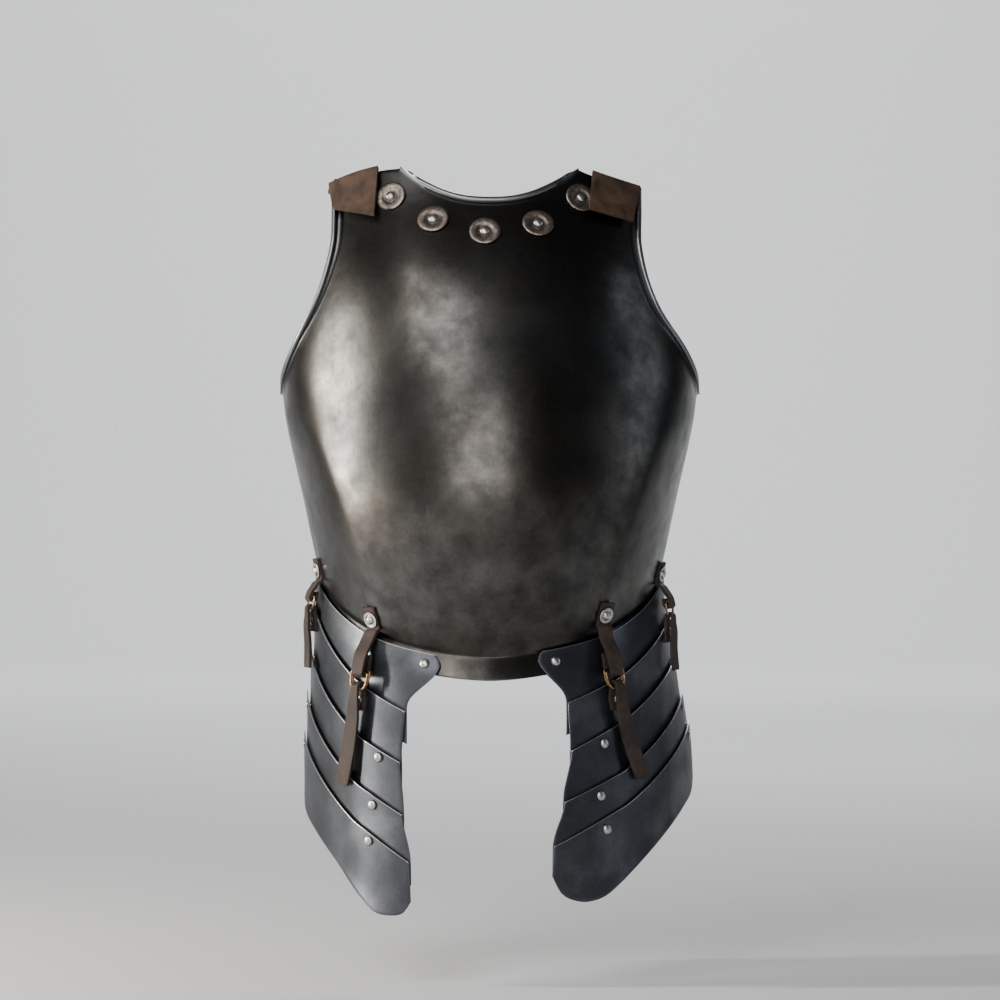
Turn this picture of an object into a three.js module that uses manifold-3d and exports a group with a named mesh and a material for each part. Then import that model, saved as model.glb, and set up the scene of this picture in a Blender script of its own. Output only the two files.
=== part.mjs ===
// A plain steel breastplate with two hanging tassets, as worn over the front of the body.
// Millimetres, +Z up, front facing -Y. Z is 0 at the top of the shoulders and Y is 0 at the side edges.
import * as THREE from 'three';
import { mergeVertices } from 'three/addons/utils/BufferGeometryUtils.js';
import Module from 'manifold-3d';

const wasm = await Module();
wasm.setup();

// ---------------------------------------------------------------- driving dimensions

const plateThickness = 1.6;
const lameThickness = 1.2;
const leatherThickness = 2.5;
const gap = 0.35;
const peenGap = 1.3;

// Level sections of the breastplate, each two Bezier spans that meet at a soft corner.
const plateSections = [
  { height: -425, halfWidth: 135, depth: 138, cornerX: 87, cornerDepth: 101, softness: 13 },
  { height: -368, halfWidth: 146, depth: 166, cornerX: 100, cornerDepth: 121, softness: 13 },
  { height: -283, halfWidth: 164, depth: 186, cornerX: 127, cornerDepth: 126, softness: 14 },
  { height: -198, halfWidth: 181, depth: 178, cornerX: 150, cornerDepth: 104, softness: 22 },
  { height: -145, halfWidth: 176, depth: 164, cornerX: 143, cornerDepth: 100, softness: 32 },
  { height: -100, halfWidth: 168, depth: 146, cornerX: 126, cornerDepth: 99, softness: 38 },
  { height: -60, halfWidth: 163, depth: 122, cornerX: 118, cornerDepth: 86, softness: 40 },
  { height: -30, halfWidth: 160, depth: 102, cornerX: 115, cornerDepth: 73, softness: 40 },
  { height: 10, halfWidth: 157, depth: 82, cornerX: 112, cornerDepth: 58, softness: 40 },
];

// The armholes seen from the side: how far in front of the side edge they pass at each height.
const armhole = [
  { height: -197, left: 8, right: 8 },
  { height: -187, left: 34, right: 36 },
  { height: -170, left: 61.5, right: 65 },
  { height: -140, left: 85, right: 93.5 },
  { height: -105, left: 89.5, right: 98 },
  { height: -70, left: 83, right: 88.5 },
  { height: -40, left: 69.5, right: 73.5 },
  { height: -17, left: 59.5, right: 63.5 },
];

const neck = { halfWidth: 77.5, bottom: -35, power: 2.4 };
const shoulders = {
  left: { innerHeight: -3.2, outerHeight: -12.2, power: 1.9 },
  right: { innerHeight: -4.7, outerHeight: -18.9, power: 0.85 },
};
const sideFullness = 0.45;
const waist = { sideHeight: -347, dip: 0.5 };
const ridge = { height: 2.6, halfWidth: 60, start: -225, full: -395 };
const flangeDrops = [19, 11, 4];

// Rolled and plain edges: how far the roll reaches past the plate, how far it lifts, its radius.
const edges = {
  plain: { bead: 0, reach: plateThickness / 2, lift: -plateThickness / 2, radius: plateThickness / 2 },
  neck: { bead: 1, reach: 3.8, lift: 1.8, radius: 2.9 },
  neckEnd: { bead: 1, reach: 0.5, lift: -0.5, radius: 1.1 },
  armTop: { bead: 1, reach: 6, lift: 4.4, radius: 2.8 },
  armBottom: { bead: 1, reach: 4.2, lift: 2.2, radius: 1.9 },
};
// The roll's section: how it leaves the outer face and comes back to the inner one.
const roll = { steps: 4, under: 0.2, startOut: 0.55, startUp: 0.3, endOut: 0.6, endUp: 0.3 };

// How far the tassets stand out past the waist, by the drop below it: at the front and at each side.
const flare = [
  { drop: 0, front: 0, left: 0, right: 0 },
  { drop: 20, front: 9, left: 0.5, right: 1 },
  { drop: 60, front: 14, left: 2, right: 5 },
  { drop: 100, front: 17, left: 5, right: 13 },
  { drop: 135, front: 20, left: 7.5, right: 21 },
  { drop: 170, front: 23, left: 10, right: 26 },
  { drop: 230, front: 27, left: 12, right: 30 },
];

// Tasset lames: the height of each top edge at the front, the middle and the side of the hip, and
// the x of its inner corner. The tip gives the bottom edge of the last lame by its turn round the hip.
const tassets = {
  left: {
    sign: -1,
    lames: [
      { front: -414.5, middle: -392.5, side: -350, innerX: 37 },
      { front: -467, middle: -427, side: -366, innerX: 69 },
      { front: -511, middle: -470, side: -410, innerX: 73 },
      { front: -553, middle: -509, side: -452, innerX: 71 },
      { front: -588, middle: -539.5, side: -487, innerX: 65 },
    ],
    tipInnerX: 65,
    tip: [
      { turn: 23, height: -621 },
      { turn: 26, height: -632 },
      { turn: 31, height: -635 },
      { turn: 37, height: -632 },
      { turn: 44, height: -616 },
      { turn: 54, height: -595 },
      { turn: 70, height: -571 },
      { turn: 84, height: -553 },
      { turn: 88, height: -540 },
    ],
  },
  right: {
    sign: 1,
    lames: [
      { front: -411.5, middle: -391.5, side: -350, innerX: 37 },
      { front: -457, middle: -426, side: -384, innerX: 64 },
      { front: -498, middle: -462, side: -422, innerX: 67 },
      { front: -537, middle: -501.5, side: -455, innerX: 61 },
      { front: -568, middle: -528, side: -480, innerX: 52 },
    ],
    tipInnerX: 52,
    tip: [
      { turn: 18, height: -600 },
      { turn: 21, height: -615 },
      { turn: 26, height: -622 },
      { turn: 31, height: -623 },
      { turn: 37, height: -618 },
      { turn: 45, height: -602 },
      { turn: 60, height: -577 },
      { turn: 76, height: -552 },
      { turn: 85, height: -539 },
      { turn: 88, height: -528 },
    ],
  },
};
const lame = {
  frontTurn: 25,
  middleTurn: 55,
  sideTurn: 88,
  firstLift: 1.2,
  lift: 3.4,
  midLift: 2,
  fall: 50,
  fallPower: 1.3,
  firstOverlap: 27,
  overlap: 19,
  overlapLoss: 7,
  innerBend: 0.62,
  columns: 8,
  tipColumns: 10,
  rowsDown: [1, 0.62, 0.27, 0],
  firstRowsDown: [1, 0.6, 0.32, 0.14, 0],
};

// Rivet heads: radius and height of the dome, shank, and the flat peened end behind.
const rivet = { radius: 4.2, height: 2.6, shank: 1.4, peenRadius: 3.2, peenHeight: 1, sides: 6 };
const hole = { radius: 1.95, sides: 6, depth: 26 };
const rearRivet = { radius: 3.4, height: 0.9, across: 0.953, belowEdge: 7 };
const washer = { radius: 7, thickness: 1, sides: 8 };
const rosette = { radius: 13.4, bevel: 0.8, rim: 1.7, dishTop: 7.4, dishBottom: 5.8, dish: 0.6, lift: 0.9,
  sides: 12 };
const rosettes = [
  { name: 'left_end', x: -84, height: -28 },
  { name: 'left', x: -47.5, height: -49 },
  { name: 'middle', x: -3.8, height: -60 },
  { name: 'right', x: 41, height: -53 },
  { name: 'right_end', x: 77.5, height: -29.5 },
];

// Front rivets of the tassets: the number of the lame on top, its place across and its height.
const frontRivets = {
  left: [
    { lame: 1, across: 0.21, height: -424 },
    { lame: 3, across: 0.39, height: -503 },
    { lame: 4, across: 0.41, height: -543 },
    { lame: 5, across: 0.42, height: -573 },
  ],
  right: [
    { lame: 1, across: 0.22, height: -422 },
    { lame: 3, across: 0.41, height: -491.5 },
    { lame: 4, across: 0.37, height: -535 },
    { lame: 5, across: 0.39, height: -563 },
  ],
};

// Strap sets, each by the heights of its washer, ring bar, lower rivet and tail end.
const strapSets = [
  {
    name: 'left_front', side: 'left', washerAcross: 0.55, barAcross: 0.53, tailAcross: 0.635, rings: 2,
    ringDepth: 15, washer: -387, bar: -431.5, rivet: -455.5, tail: -528, backLength: 14,
  },
  {
    name: 'right_front', side: 'right', washerAcross: 0.51, barAcross: 0.485, tailAcross: 0.65, rings: 2,
    ringDepth: 15, washer: -383, bar: -430, rivet: -455, tail: -523, backLength: 14,
  },
  {
    name: 'left_side', side: 'left', washerAcross: 0.905, barAcross: 0.905, tailAcross: 0.905, rings: 1,
    ringDepth: 11, washer: -347, bar: -371, rivet: -391.5, tail: -432, backLength: 5,
  },
  {
    name: 'right_side', side: 'right', washerAcross: 0.905, barAcross: 0.905, tailAcross: 0.905, rings: 1,
    ringDepth: 12, washer: -350, bar: -377, rivet: -401, tail: -434, backLength: 5,
  },
];
// How far the leather lies off the shell, and how far past each fastening it runs flat.
const strap = { width: 14, bend: 0.9, throat: 0.56, rest: 1.9, overEdge: 7.2, onLame: 6.8, back: 8.1,
  aboveWasher: 9.5, belowWasher: 7.5, edgeDrop: 12, belowRivet: 9, rivetGap: 0.7 };
// The hanging tail of a lower strap, from its end up to the rings.
const tailPath = [
  { down: 1, off: 10.2, narrow: 1 },
  { down: 0.93, off: 10.3, narrow: 1.1 },
  { down: 0.6, off: 11.2, narrow: 1.1 },
  { down: 0.3, off: 13, narrow: 0.95 },
];
// Its other end, down behind the rings to the rivet.
const returnPath = { halfway: { off: 7.6, narrow: 0.8 }, end: { off: 6.2, narrow: 1 } };
const ring = { halfWidth: 9.5, wire: 1, corner: 2.5, play: 0.5, sit: 1.4, stagger: 1.5, along: 16,
  around: 4 };

// Shoulder straps: x of the inner and outer edge of the tongue behind the plate, at the top and at the
// free end, and the end's height.
const shoulderStraps = [
  {
    side: 'left', rosette: 'left_end', tongue: { innerX: 70, outerX: 120 }, outerLift: 3,
    inner: { topX: 95.5, endX: 98, endHeight: -45 }, outer: { topX: 138, endX: 134, endHeight: -37.5 },
  },
  {
    side: 'right', rosette: 'right_end', tongue: { innerX: 64, outerX: 114 }, outerLift: 0.5,
    inner: { topX: 88, endX: 84.5, endHeight: -39.5 }, outer: { topX: 129, endX: 122, endHeight: -49 },
  },
];
// Their path, from behind the plate over its top edge and down in front to the free end.
const shoulderPath = [
  { tongue: 1, below: 34, front: 0, off: -3.4 },
  { tongue: 1, below: 24, front: 0, off: -3.4 },
  { tongue: 1, below: 13, front: 0, off: -3.4 },
  { tongue: 0, below: 5, front: 0, off: -3.4 },
  { tongue: 0, below: -1.6, front: 0, off: -2.9 },
  { tongue: 0, below: -3.4, front: 0, off: -0.6 },
  { tongue: 0, below: -3.4, front: 0, off: 2.4 },
  { tongue: 0, below: -1.6, front: 0, off: 4.8 },
  { tongue: 0, below: 0, front: 0.3, off: 6.4 },
  { tongue: 0, below: 0, front: 0.65, off: 7.6 },
  { tongue: 0, below: 0, front: 1, off: 8.6 },
];

const colours = {
  plate: 0x4b4a47,
  lame: 0x50555c,
  leather: 0x5a4230,
  rosette: 0xa89a90,
  rivet: 0xb4b4b2,
  ring: 0x8a6a44,
};

// ---------------------------------------------------------------- shared geometry

const finish = {
  plate: () => new THREE.MeshStandardMaterial({ color: colours.plate, roughness: 0.45, metalness: 0.9 }),
  lame: () => new THREE.MeshStandardMaterial({ color: colours.lame, roughness: 0.4, metalness: 0.9 }),
  leather: () => new THREE.MeshStandardMaterial({ color: colours.leather, roughness: 0.8, metalness: 0 }),
  rosette: () => new THREE.MeshStandardMaterial({ color: colours.rosette, roughness: 0.35, metalness: 1 }),
  rivet: () => new THREE.MeshStandardMaterial({ color: colours.rivet, roughness: 0.3, metalness: 1 }),
  ring: () => new THREE.MeshStandardMaterial({ color: colours.ring, roughness: 0.35, metalness: 1 }),
};

const mix = THREE.MathUtils.lerp;
const degrees = THREE.MathUtils.radToDeg;
const vector = (x, y, z) => new THREE.Vector3(x, y, z);

// Reads a table at a value between its rows, on a smooth curve through them.
function readTable(table, key, value) {
  const last = table.length - 1;
  let i = 0;
  while (i < last - 1 && value > table[i + 1][key]) i += 1;
  const low = table[i];
  const high = table[i + 1];
  const span = high[key] - low[key];
  const t = THREE.MathUtils.clamp((value - low[key]) / span, 0, 1);
  const slope = (row, column) => {
    const before = table[Math.max(row - 1, 0)];
    const after = table[Math.min(row + 1, last)];
    return (after[column] - before[column]) / (after[key] - before[key]);
  };
  const found = {};
  for (const column of Object.keys(low)) {
    const start = slope(i, column) * span;
    const end = slope(i + 1, column) * span;
    const rise = high[column] - low[column];
    const bend = 3 * rise - 2 * start - end;
    found[column] = low[column] + t * (start + t * (bend + t * (start + end - 2 * rise)));
  }
  return found;
}

// Finds where a rising function reaches a value.
function solve(rising, value, low, high) {
  for (let step = 0; step < 40; step += 1) {
    const middle = (low + high) / 2;
    if (rising(middle) < value) low = middle;
    else high = middle;
  }
  return (low + high) / 2;
}

// Turns every face outwards.
function facingOut(geometry) {
  const p = geometry.attributes.position;
  const index = geometry.index.array;
  const corner = [vector(), vector(), vector()];
  let volume = 0;
  for (let i = 0; i < index.length; i += 3) {
    corner.forEach((c, k) => c.fromBufferAttribute(p, index[i + k]));
    volume += corner[0].dot(corner[1].clone().cross(corner[2]));
  }
  if (volume < 0) {
    for (let i = 0; i < index.length; i += 3) {
      [index[i + 1], index[i + 2]] = [index[i + 2], index[i + 1]];
    }
  }
  geometry.computeVertexNormals();
  return geometry;
}

// A closed sheet between an outer and an inner grid of points. rimAt(row, column) gives the points
// that lead round the edge from the outer face to the inner one.
function sheet(outer, inner, rimAt = () => []) {
  const rows = outer.length;
  const columns = outer[0].length;
  const positions = [];
  const faces = [];
  const keep = (point) => positions.push(point.x, point.y, point.z) / 3 - 1;
  const quad = (a, b, c, d) => faces.push(a, b, c, a, c, d);
  const face = (grid) => grid.map((row) => row.map(keep));
  const front = face(outer);
  const back = face(inner);
  for (let j = 1; j < rows; j += 1) {
    for (let i = 1; i < columns; i += 1) {
      quad(front[j - 1][i - 1], front[j - 1][i], front[j][i], front[j][i - 1]);
      quad(back[j - 1][i - 1], back[j][i - 1], back[j][i], back[j - 1][i]);
    }
  }
  const border = [];
  for (let i = 0; i < columns - 1; i += 1) border.push([0, i]);
  for (let j = 0; j < rows - 1; j += 1) border.push([j, columns - 1]);
  for (let i = columns - 1; i > 0; i -= 1) border.push([rows - 1, i]);
  for (let j = rows - 1; j > 0; j -= 1) border.push([j, 0]);
  const chains = border.map(([j, i]) => [front[j][i], ...rimAt(j, i).map(keep), back[j][i]]);
  chains.forEach((chain, n) => {
    const next = chains[(n + 1) % chains.length];
    for (let k = 1; k < chain.length; k += 1) quad(chain[k - 1], chain[k], next[k], next[k - 1]);
  });
  const geometry = new THREE.BufferGeometry();
  geometry.setAttribute('position', new THREE.Float32BufferAttribute(positions, 3));
  geometry.setIndex(faces);
  return facingOut(geometry);
}

// Unit normals of a grid of points, pointing away from the body.
function gridNormals(grid) {
  const rows = grid.length - 1;
  const columns = grid[0].length - 1;
  return grid.map((row, j) => row.map((point, i) => {
    const across = row[Math.min(i + 1, columns)].clone().sub(row[Math.max(i - 1, 0)]);
    const up = grid[Math.min(j + 1, rows)][i].clone().sub(grid[Math.max(j - 1, 0)][i]);
    return across.cross(up).normalize();
  }));
}

const offsetGrid = (grid, normals, distance) => grid.map((row, j) => row.map(
  (point, i) => point.clone().addScaledVector(normals[j][i], distance),
));

function toSolid(geometry) {
  const bare = geometry.clone();
  bare.deleteAttribute('normal');
  bare.deleteAttribute('uv');
  const merged = mergeVertices(bare, 1e-4);
  return new wasm.Manifold(new wasm.Mesh({
    numProp: 3,
    vertProperties: new Float32Array(merged.attributes.position.array),
    triVerts: new Uint32Array(merged.index.array),
  }));
}

function toGeometry(solid) {
  const made = solid.getMesh();
  const geometry = new THREE.BufferGeometry();
  geometry.setAttribute('position', new THREE.BufferAttribute(made.vertProperties, 3));
  geometry.setIndex(new THREE.BufferAttribute(made.triVerts, 1));
  geometry.computeVertexNormals();
  return geometry;
}

// Cuts round holes for rivets. Each hole is a place with a point and the direction of its axis.
function drill(geometry, places) {
  let solid = toSolid(geometry);
  for (const place of places) {
    const cutter = new THREE.CylinderGeometry(hole.radius, hole.radius, hole.depth, hole.sides);
    cutter.applyQuaternion(new THREE.Quaternion().setFromUnitVectors(vector(0, 1, 0), place.normal));
    cutter.translate(place.point.x, place.point.y, place.point.z);
    solid = solid.subtract(toSolid(cutter));
  }
  return toGeometry(solid);
}

// A mesh whose own +Y axis stands on a place.
function standing(name, geometry, material, place, lift) {
  const mesh = new THREE.Mesh(geometry, material);
  mesh.name = name;
  mesh.position.copy(place.point).addScaledVector(place.normal, lift);
  mesh.quaternion.setFromUnitVectors(vector(0, 1, 0), place.normal);
  return mesh;
}

function named(name, geometry, material) {
  const mesh = new THREE.Mesh(geometry, material);
  mesh.name = name;
  return mesh;
}

// ---------------------------------------------------------------- the shape of the plate

// A point of the outer face: across runs from -1 at the left side edge over 0 to 1 at the right one.
function platePoint(across, height) {
  const s = readTable(plateSections, 'height', height);
  const front = new THREE.Vector2(0, -s.depth);
  const corner = new THREE.Vector2(s.cornerX, -s.cornerDepth);
  const side = new THREE.Vector2(s.halfWidth, 0);
  const beforeSide = new THREE.Vector2(s.halfWidth, -s.cornerDepth * sideFullness);
  const handle = side.clone().sub(front).setLength(s.softness);
  const reach = Math.abs(across);
  const span = reach < 0.5
    ? new THREE.CubicBezierCurve(
      front, new THREE.Vector2(s.cornerX / 2, -s.depth), corner.clone().sub(handle), corner)
    : new THREE.CubicBezierCurve(
      corner, corner.clone().add(handle), beforeSide, side);
  const flat = span.getPoint(reach < 0.5 ? reach * 2 : reach * 2 - 1);
  const fade = THREE.MathUtils.smoothstep(ridge.start - height, 0, ridge.start - ridge.full);
  const rise = ridge.height * fade * Math.max(0, 1 - flat.x / ridge.halfWidth) ** 2;
  return vector(Math.sign(across) * flat.x, flat.y - rise, height);
}

const acrossAtX = (x, height) => solve((a) => platePoint(a, height).x, x, 0, 1);
const acrossAtDepth = (depth, height) => solve((a) => platePoint(a, height).y, -depth, 0, 1);

// The waist is a level cut that dips towards the front.
function waistHeight(across) {
  let height = waist.sideHeight;
  for (let step = 0; step < 14; step += 1) {
    height = waist.sideHeight + waist.dip * platePoint(across, height).y;
  }
  return height;
}

// A point of the skirt below the waist, which the flange and the lames follow.
function skirtPoint(across, height, offset = 0) {
  const level = waistHeight(across);
  const start = platePoint(across, level);
  const before = platePoint(across - 0.01, level);
  const after = platePoint(Math.min(across + 0.01, 1), level);
  const outward = vector(after.y - before.y, before.x - after.x, 0).normalize();
  const out = readTable(flare, 'drop', level - height);
  const section = readTable(plateSections, 'height', level);
  const frontShare = THREE.MathUtils.clamp(-start.y / section.depth, 0, 1);
  const run = mix(across < 0 ? out.left : out.right, out.front, frontShare);
  return start.addScaledVector(outward, run + offset).setZ(height);
}

// How far round from the front a point of the waist lies, in degrees.
function turnAt(across) {
  const level = waistHeight(across);
  const p = platePoint(across, level);
  const section = readTable(plateSections, 'height', level);
  return degrees(Math.atan2(Math.abs(p.x) / section.halfWidth, -p.y / section.depth));
}

// The outer face above the waist and the skirt below it, as one surface.
const shellPoint = (across, height) => (
  height > waistHeight(across) ? platePoint(across, height) : skirtPoint(across, height)
);

// A place on the shell: the point and the direction that stands on it.
function placeOnShell(across, height, offset = 0) {
  const step = 0.01;
  const sideways = shellPoint(across + step, height).sub(shellPoint(across - step, height));
  const up = shellPoint(across, height + 1).sub(shellPoint(across, height - 1));
  const normal = sideways.clone().cross(up).normalize();
  const point = shellPoint(across, height).addScaledVector(normal, offset);
  return { point, normal, sideways: sideways.setZ(0).normalize() };
}

const acrossOnShell = (x, height) => Math.sign(x) * solve(
  (a) => Math.abs(shellPoint(Math.sign(x) * a, height).x), Math.abs(x), 0.02, 0.98,
);

// ---------------------------------------------------------------- breastplate

const plateGrid = { halfColumns: 12, rows: 12, armRow: 5, neckColumn: 8 };

const armTopX = (side) => {
  const { outerHeight } = shoulders[side];
  return platePoint(acrossAtDepth(armhole[armhole.length - 1][side], outerHeight), outerHeight).x;
};

// Height of the plate's top edge between the neck and the armhole.
function shoulderHeight(side, x) {
  const { innerHeight, outerHeight, power } = shoulders[side];
  const part = THREE.MathUtils.clamp((x - neck.halfWidth) / (armTopX(side) - neck.halfWidth), 0, 1.4);
  return mix(innerHeight, outerHeight, part ** power);
}

// One half as a four-sided patch: its grid lines blend the four edges.
function plateRows(side) {
  const shoulder = shoulders[side];
  const { halfColumns, rows, armRow, neckColumn } = plateGrid;
  const armBottom = armhole[0].height;
  const bottom = (s) => [s, waistHeight(s)];
  const centre = (t) => [0, mix(waistHeight(0), neck.bottom, t)];
  const outer = (t) => {
    const armStart = armRow / rows;
    if (t <= armStart) return [1, mix(waist.sideHeight, armBottom, t / armStart)];
    const height = mix(armBottom, shoulder.outerHeight, (t - armStart) / (1 - armStart));
    return [acrossAtDepth(readTable(armhole, 'height', height)[side], height), height];
  };
  const neckEnd = neckColumn / halfColumns;
  const top = (s) => {
    const onNeck = s <= neckEnd;
    const part = onNeck ? s / neckEnd : (s - neckEnd) / (1 - neckEnd);
    const x = onNeck ? neck.halfWidth * part : mix(neck.halfWidth, armTopX(side), part);
    const height = onNeck
      ? neck.bottom + (shoulder.innerHeight - neck.bottom) * part ** neck.power
      : shoulderHeight(side, x);
    return [acrossAtX(x, height), height];
  };
  const half = [];
  for (let j = 0; j <= rows; j += 1) {
    const t = j / rows;
    half.push([]);
    for (let i = 0; i <= halfColumns; i += 1) {
      const s = i / halfColumns;
      const blend = (k) => mix(centre(t)[k], outer(t)[k], s) + mix(bottom(s)[k], top(s)[k], t)
        - mix(mix(bottom(0)[k], bottom(1)[k], s), mix(top(0)[k], top(1)[k], s), t);
      half[j].push([blend(0), blend(1)]);
    }
  }
  return half;
}

function breastplateGrid() {
  const { halfColumns } = plateGrid;
  const columns = [];
  for (let i = -halfColumns; i <= halfColumns; i += 1) columns.push(i);
  const flange = flangeDrops.map((drop) => columns.map((i) => {
    const across = i / halfColumns;
    return skirtPoint(across, waistHeight(across) - drop);
  }));
  const halves = { left: plateRows('left'), right: plateRows('right') };
  const body = halves.left.map((_, j) => columns.map((i) => {
    const [across, height] = halves[i < 0 ? 'left' : 'right'][j][Math.abs(i)];
    return platePoint(Math.sign(i) * across, height);
  }));
  return [...flange, ...body];
}

// Which edge a border point lies on.
function edgeAt(row, column) {
  const { halfColumns, rows, armRow, neckColumn } = plateGrid;
  const bodyRow = row - flangeDrops.length;
  const away = Math.abs(column - halfColumns);
  const between = (from, to, part) => ({
    bead: 1,
    reach: mix(from.reach, to.reach, part),
    lift: mix(from.lift, to.lift, part),
    radius: mix(from.radius, to.radius, part),
  });
  if (bodyRow === rows && away <= neckColumn) {
    return between(edges.neck, edges.neckEnd, (away / neckColumn) ** 3);
  }
  if (away < halfColumns || bodyRow < armRow || bodyRow === rows) return edges.plain;
  return between(edges.armBottom, edges.armTop, (bodyRow - armRow) / (rows - armRow));
}

function breastplate(places) {
  const outer = breastplateGrid();
  const normals = gridNormals(outer);
  const inner = offsetGrid(outer, normals, -plateThickness);
  const lastRow = outer.length - 1;
  const lastColumn = outer[0].length - 1;
  const rimAt = (j, i) => {
    const edge = edgeAt(j, i);
    const point = outer[j][i];
    const normal = normals[j][i];
    const onSide = i === 0 || i === lastColumn;
    const onEnd = j === 0 || j === lastRow;
    const inside = outer[onEnd ? Math.abs(j - 1) : j][onSide ? Math.abs(i - 1) : i];
    const away = point.clone().sub(inside);
    away.addScaledVector(normal, -away.dot(normal));
    if (!(onSide && onEnd)) {
      const along = onSide ? outer[j + 1][i].clone().sub(outer[j - 1][i])
        : outer[j][i + 1].clone().sub(outer[j][i - 1]);
      along.normalize();
      away.addScaledVector(along, -away.dot(along));
    }
    away.normalize();
    const at = (out, up) => point.clone().addScaledVector(away, out).addScaledVector(normal, up);
    const first = Math.PI / 2 * (1 + edge.bead);
    const last = -Math.PI / 2 * (1 - roll.under * edge.bead);
    const round = [];
    for (let k = 0; k < roll.steps; k += 1) {
      const angle = mix(first, last, k / (roll.steps - 1));
      round.push([edge.reach + edge.radius * Math.cos(angle), edge.lift + edge.radius * Math.sin(angle)]);
    }
    const start = round[0];
    const end = round[roll.steps - 1];
    return [
      at(start[0] * roll.startOut, start[1] * roll.startUp),
      ...round.map(([out, up]) => at(out, up)),
      at(end[0] * roll.endOut, mix(-plateThickness, end[1], roll.endUp)),
    ];
  };
  return named('breastplate', drill(sheet(outer, inner, rimAt), places), finish.plate());
}

// ---------------------------------------------------------------- tassets

// Height of a lame's top edge at a turn around the hip: a curve through its three heights.
function edgeHeight(row, turn) {
  const { frontTurn, middleTurn, sideTurn } = lame;
  const front = (turn - middleTurn) * (turn - sideTurn) / ((frontTurn - middleTurn) * (frontTurn - sideTurn));
  const side = (turn - frontTurn) * (turn - middleTurn) / ((sideTurn - frontTurn) * (sideTurn - middleTurn));
  return row.front * front + row.middle * (1 - front - side) + row.side * side;
}

// The outline of one lame: the heights of its top and bottom edges and the x of its inner corners.
function lameOutline(tasset, number) {
  const row = tasset.lames[number];
  const next = tasset.lames[number + 1];
  const overlap = number === 0 ? lame.firstOverlap : lame.overlap;
  return {
    top: (turn) => edgeHeight(row, turn),
    bottom: (turn, part) => (next
      ? edgeHeight(next, turn) - mix(overlap, lame.overlap - lame.overlapLoss, part * part)
      : readTable(tasset.tip, 'turn', turn).height),
    topX: row.innerX,
    bottomX: next ? next.innerX : tasset.tipInnerX,
  };
}

// How far a lame's inner face stands off the skirt: most at the middle of its top edge.
function standOff(number, part, belowTop) {
  const lift = (number === 0 ? lame.firstLift : lame.lift) + lame.midLift * Math.sin(Math.PI * part);
  return gap + lift * Math.max(0, 1 - belowTop / lame.fall) ** lame.fallPower;
}

const outerAcross = solve(turnAt, lame.sideTurn, 0, 1);

// The inner edge of a lame, as its place across the shell.
function innerEdge(side, number, down) {
  const outline = lameOutline(tassets[side], number);
  const x = mix(outline.topX, outline.bottomX, THREE.MathUtils.smoothstep(down, 0, lame.innerBend));
  const height = mix(outline.top(lame.frontTurn), outline.bottom(lame.frontTurn, 0), down);
  return Math.abs(acrossOnShell(tassets[side].sign * x, height));
}

// A point of a lame: part runs along it from the inner to the outer edge, down from top to bottom.
function lamePoint(side, number, part, down, thickness) {
  const outline = lameOutline(tassets[side], number);
  const across = mix(innerEdge(side, number, down), outerAcross, part);
  const turn = turnAt(across);
  const belowTop = (outline.top(turn) - outline.bottom(turn, part)) * down;
  const off = standOff(number, part, belowTop) + thickness;
  return skirtPoint(tassets[side].sign * across, outline.top(turn) - belowTop, off);
}

function lameSheet(side, number, places) {
  const columns = number === tassets[side].lames.length - 1 ? lame.tipColumns : lame.columns;
  const rowsDown = number === 0 ? lame.firstRowsDown : lame.rowsDown;
  const [outer, inner] = [lameThickness, 0].map((thickness) => rowsDown.map((down) => {
    const row = [];
    for (let i = 0; i <= columns; i += 1) row.push(lamePoint(side, number, i / columns, down, thickness));
    return row;
  }));
  return named(`${side}_tasset_lame_${number + 1}`, drill(sheet(outer, inner), places), finish.lame());
}

// A place on the outer face of a lame, by its place across the shell and its height.
function placeOnLame(side, number, across, height) {
  const outline = lameOutline(tassets[side], number);
  const turn = turnAt(across);
  let part = 0.5;
  let down = 0.2;
  for (let step = 0; step < 8; step += 1) {
    down = (outline.top(turn) - height) / (outline.top(turn) - outline.bottom(turn, part));
    const inner = innerEdge(side, number, down);
    part = (across - inner) / (outerAcross - inner);
  }
  const at = (k, d) => lamePoint(side, number, k, d, lameThickness);
  const sideways = at(part + 0.02, down).sub(at(part - 0.02, down)).multiplyScalar(tassets[side].sign);
  const up = at(part, down - 0.05).sub(at(part, down + 0.05));
  return { point: at(part, down), normal: sideways.cross(up).normalize() };
}

// ---------------------------------------------------------------- rivets and rosettes

// Revolves a profile of [radius, height] points about +Y.
const turned = (profile, sides) => facingOut(mergeBare(new THREE.LatheGeometry(
  profile.map(([radius, height]) => new THREE.Vector2(radius, height)), sides)));

function mergeBare(geometry) {
  geometry.deleteAttribute('normal');
  geometry.deleteAttribute('uv');
  return mergeVertices(geometry, 1e-4);
}

// The shank and the peened end below a head whose flat side is at height 0.
function shankProfile(depth, width = rivet.peenRadius) {
  return [
    [0, -depth - rivet.peenHeight],
    [width * 0.8, -depth - rivet.peenHeight],
    [width, -depth],
    [rivet.shank, -depth],
    [rivet.shank, 0],
  ];
}

const domeProfile = (radius, base, height) => [
  [radius, base],
  [radius * 0.75, base + height * 0.7],
  [0, base + height],
];

const domedRivet = (depth, radius = rivet.radius, height = rivet.height) => turned(
  [...shankProfile(depth), ...domeProfile(radius, 0, height)], rivet.sides);

// A rivet with a broad washer fused under its dome.
const flangedRivet = (depth) => turned([
  ...shankProfile(depth),
  [washer.radius, 0],
  [washer.radius, washer.thickness],
  ...domeProfile(rivet.radius, washer.thickness, rivet.height),
], washer.sides);

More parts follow.
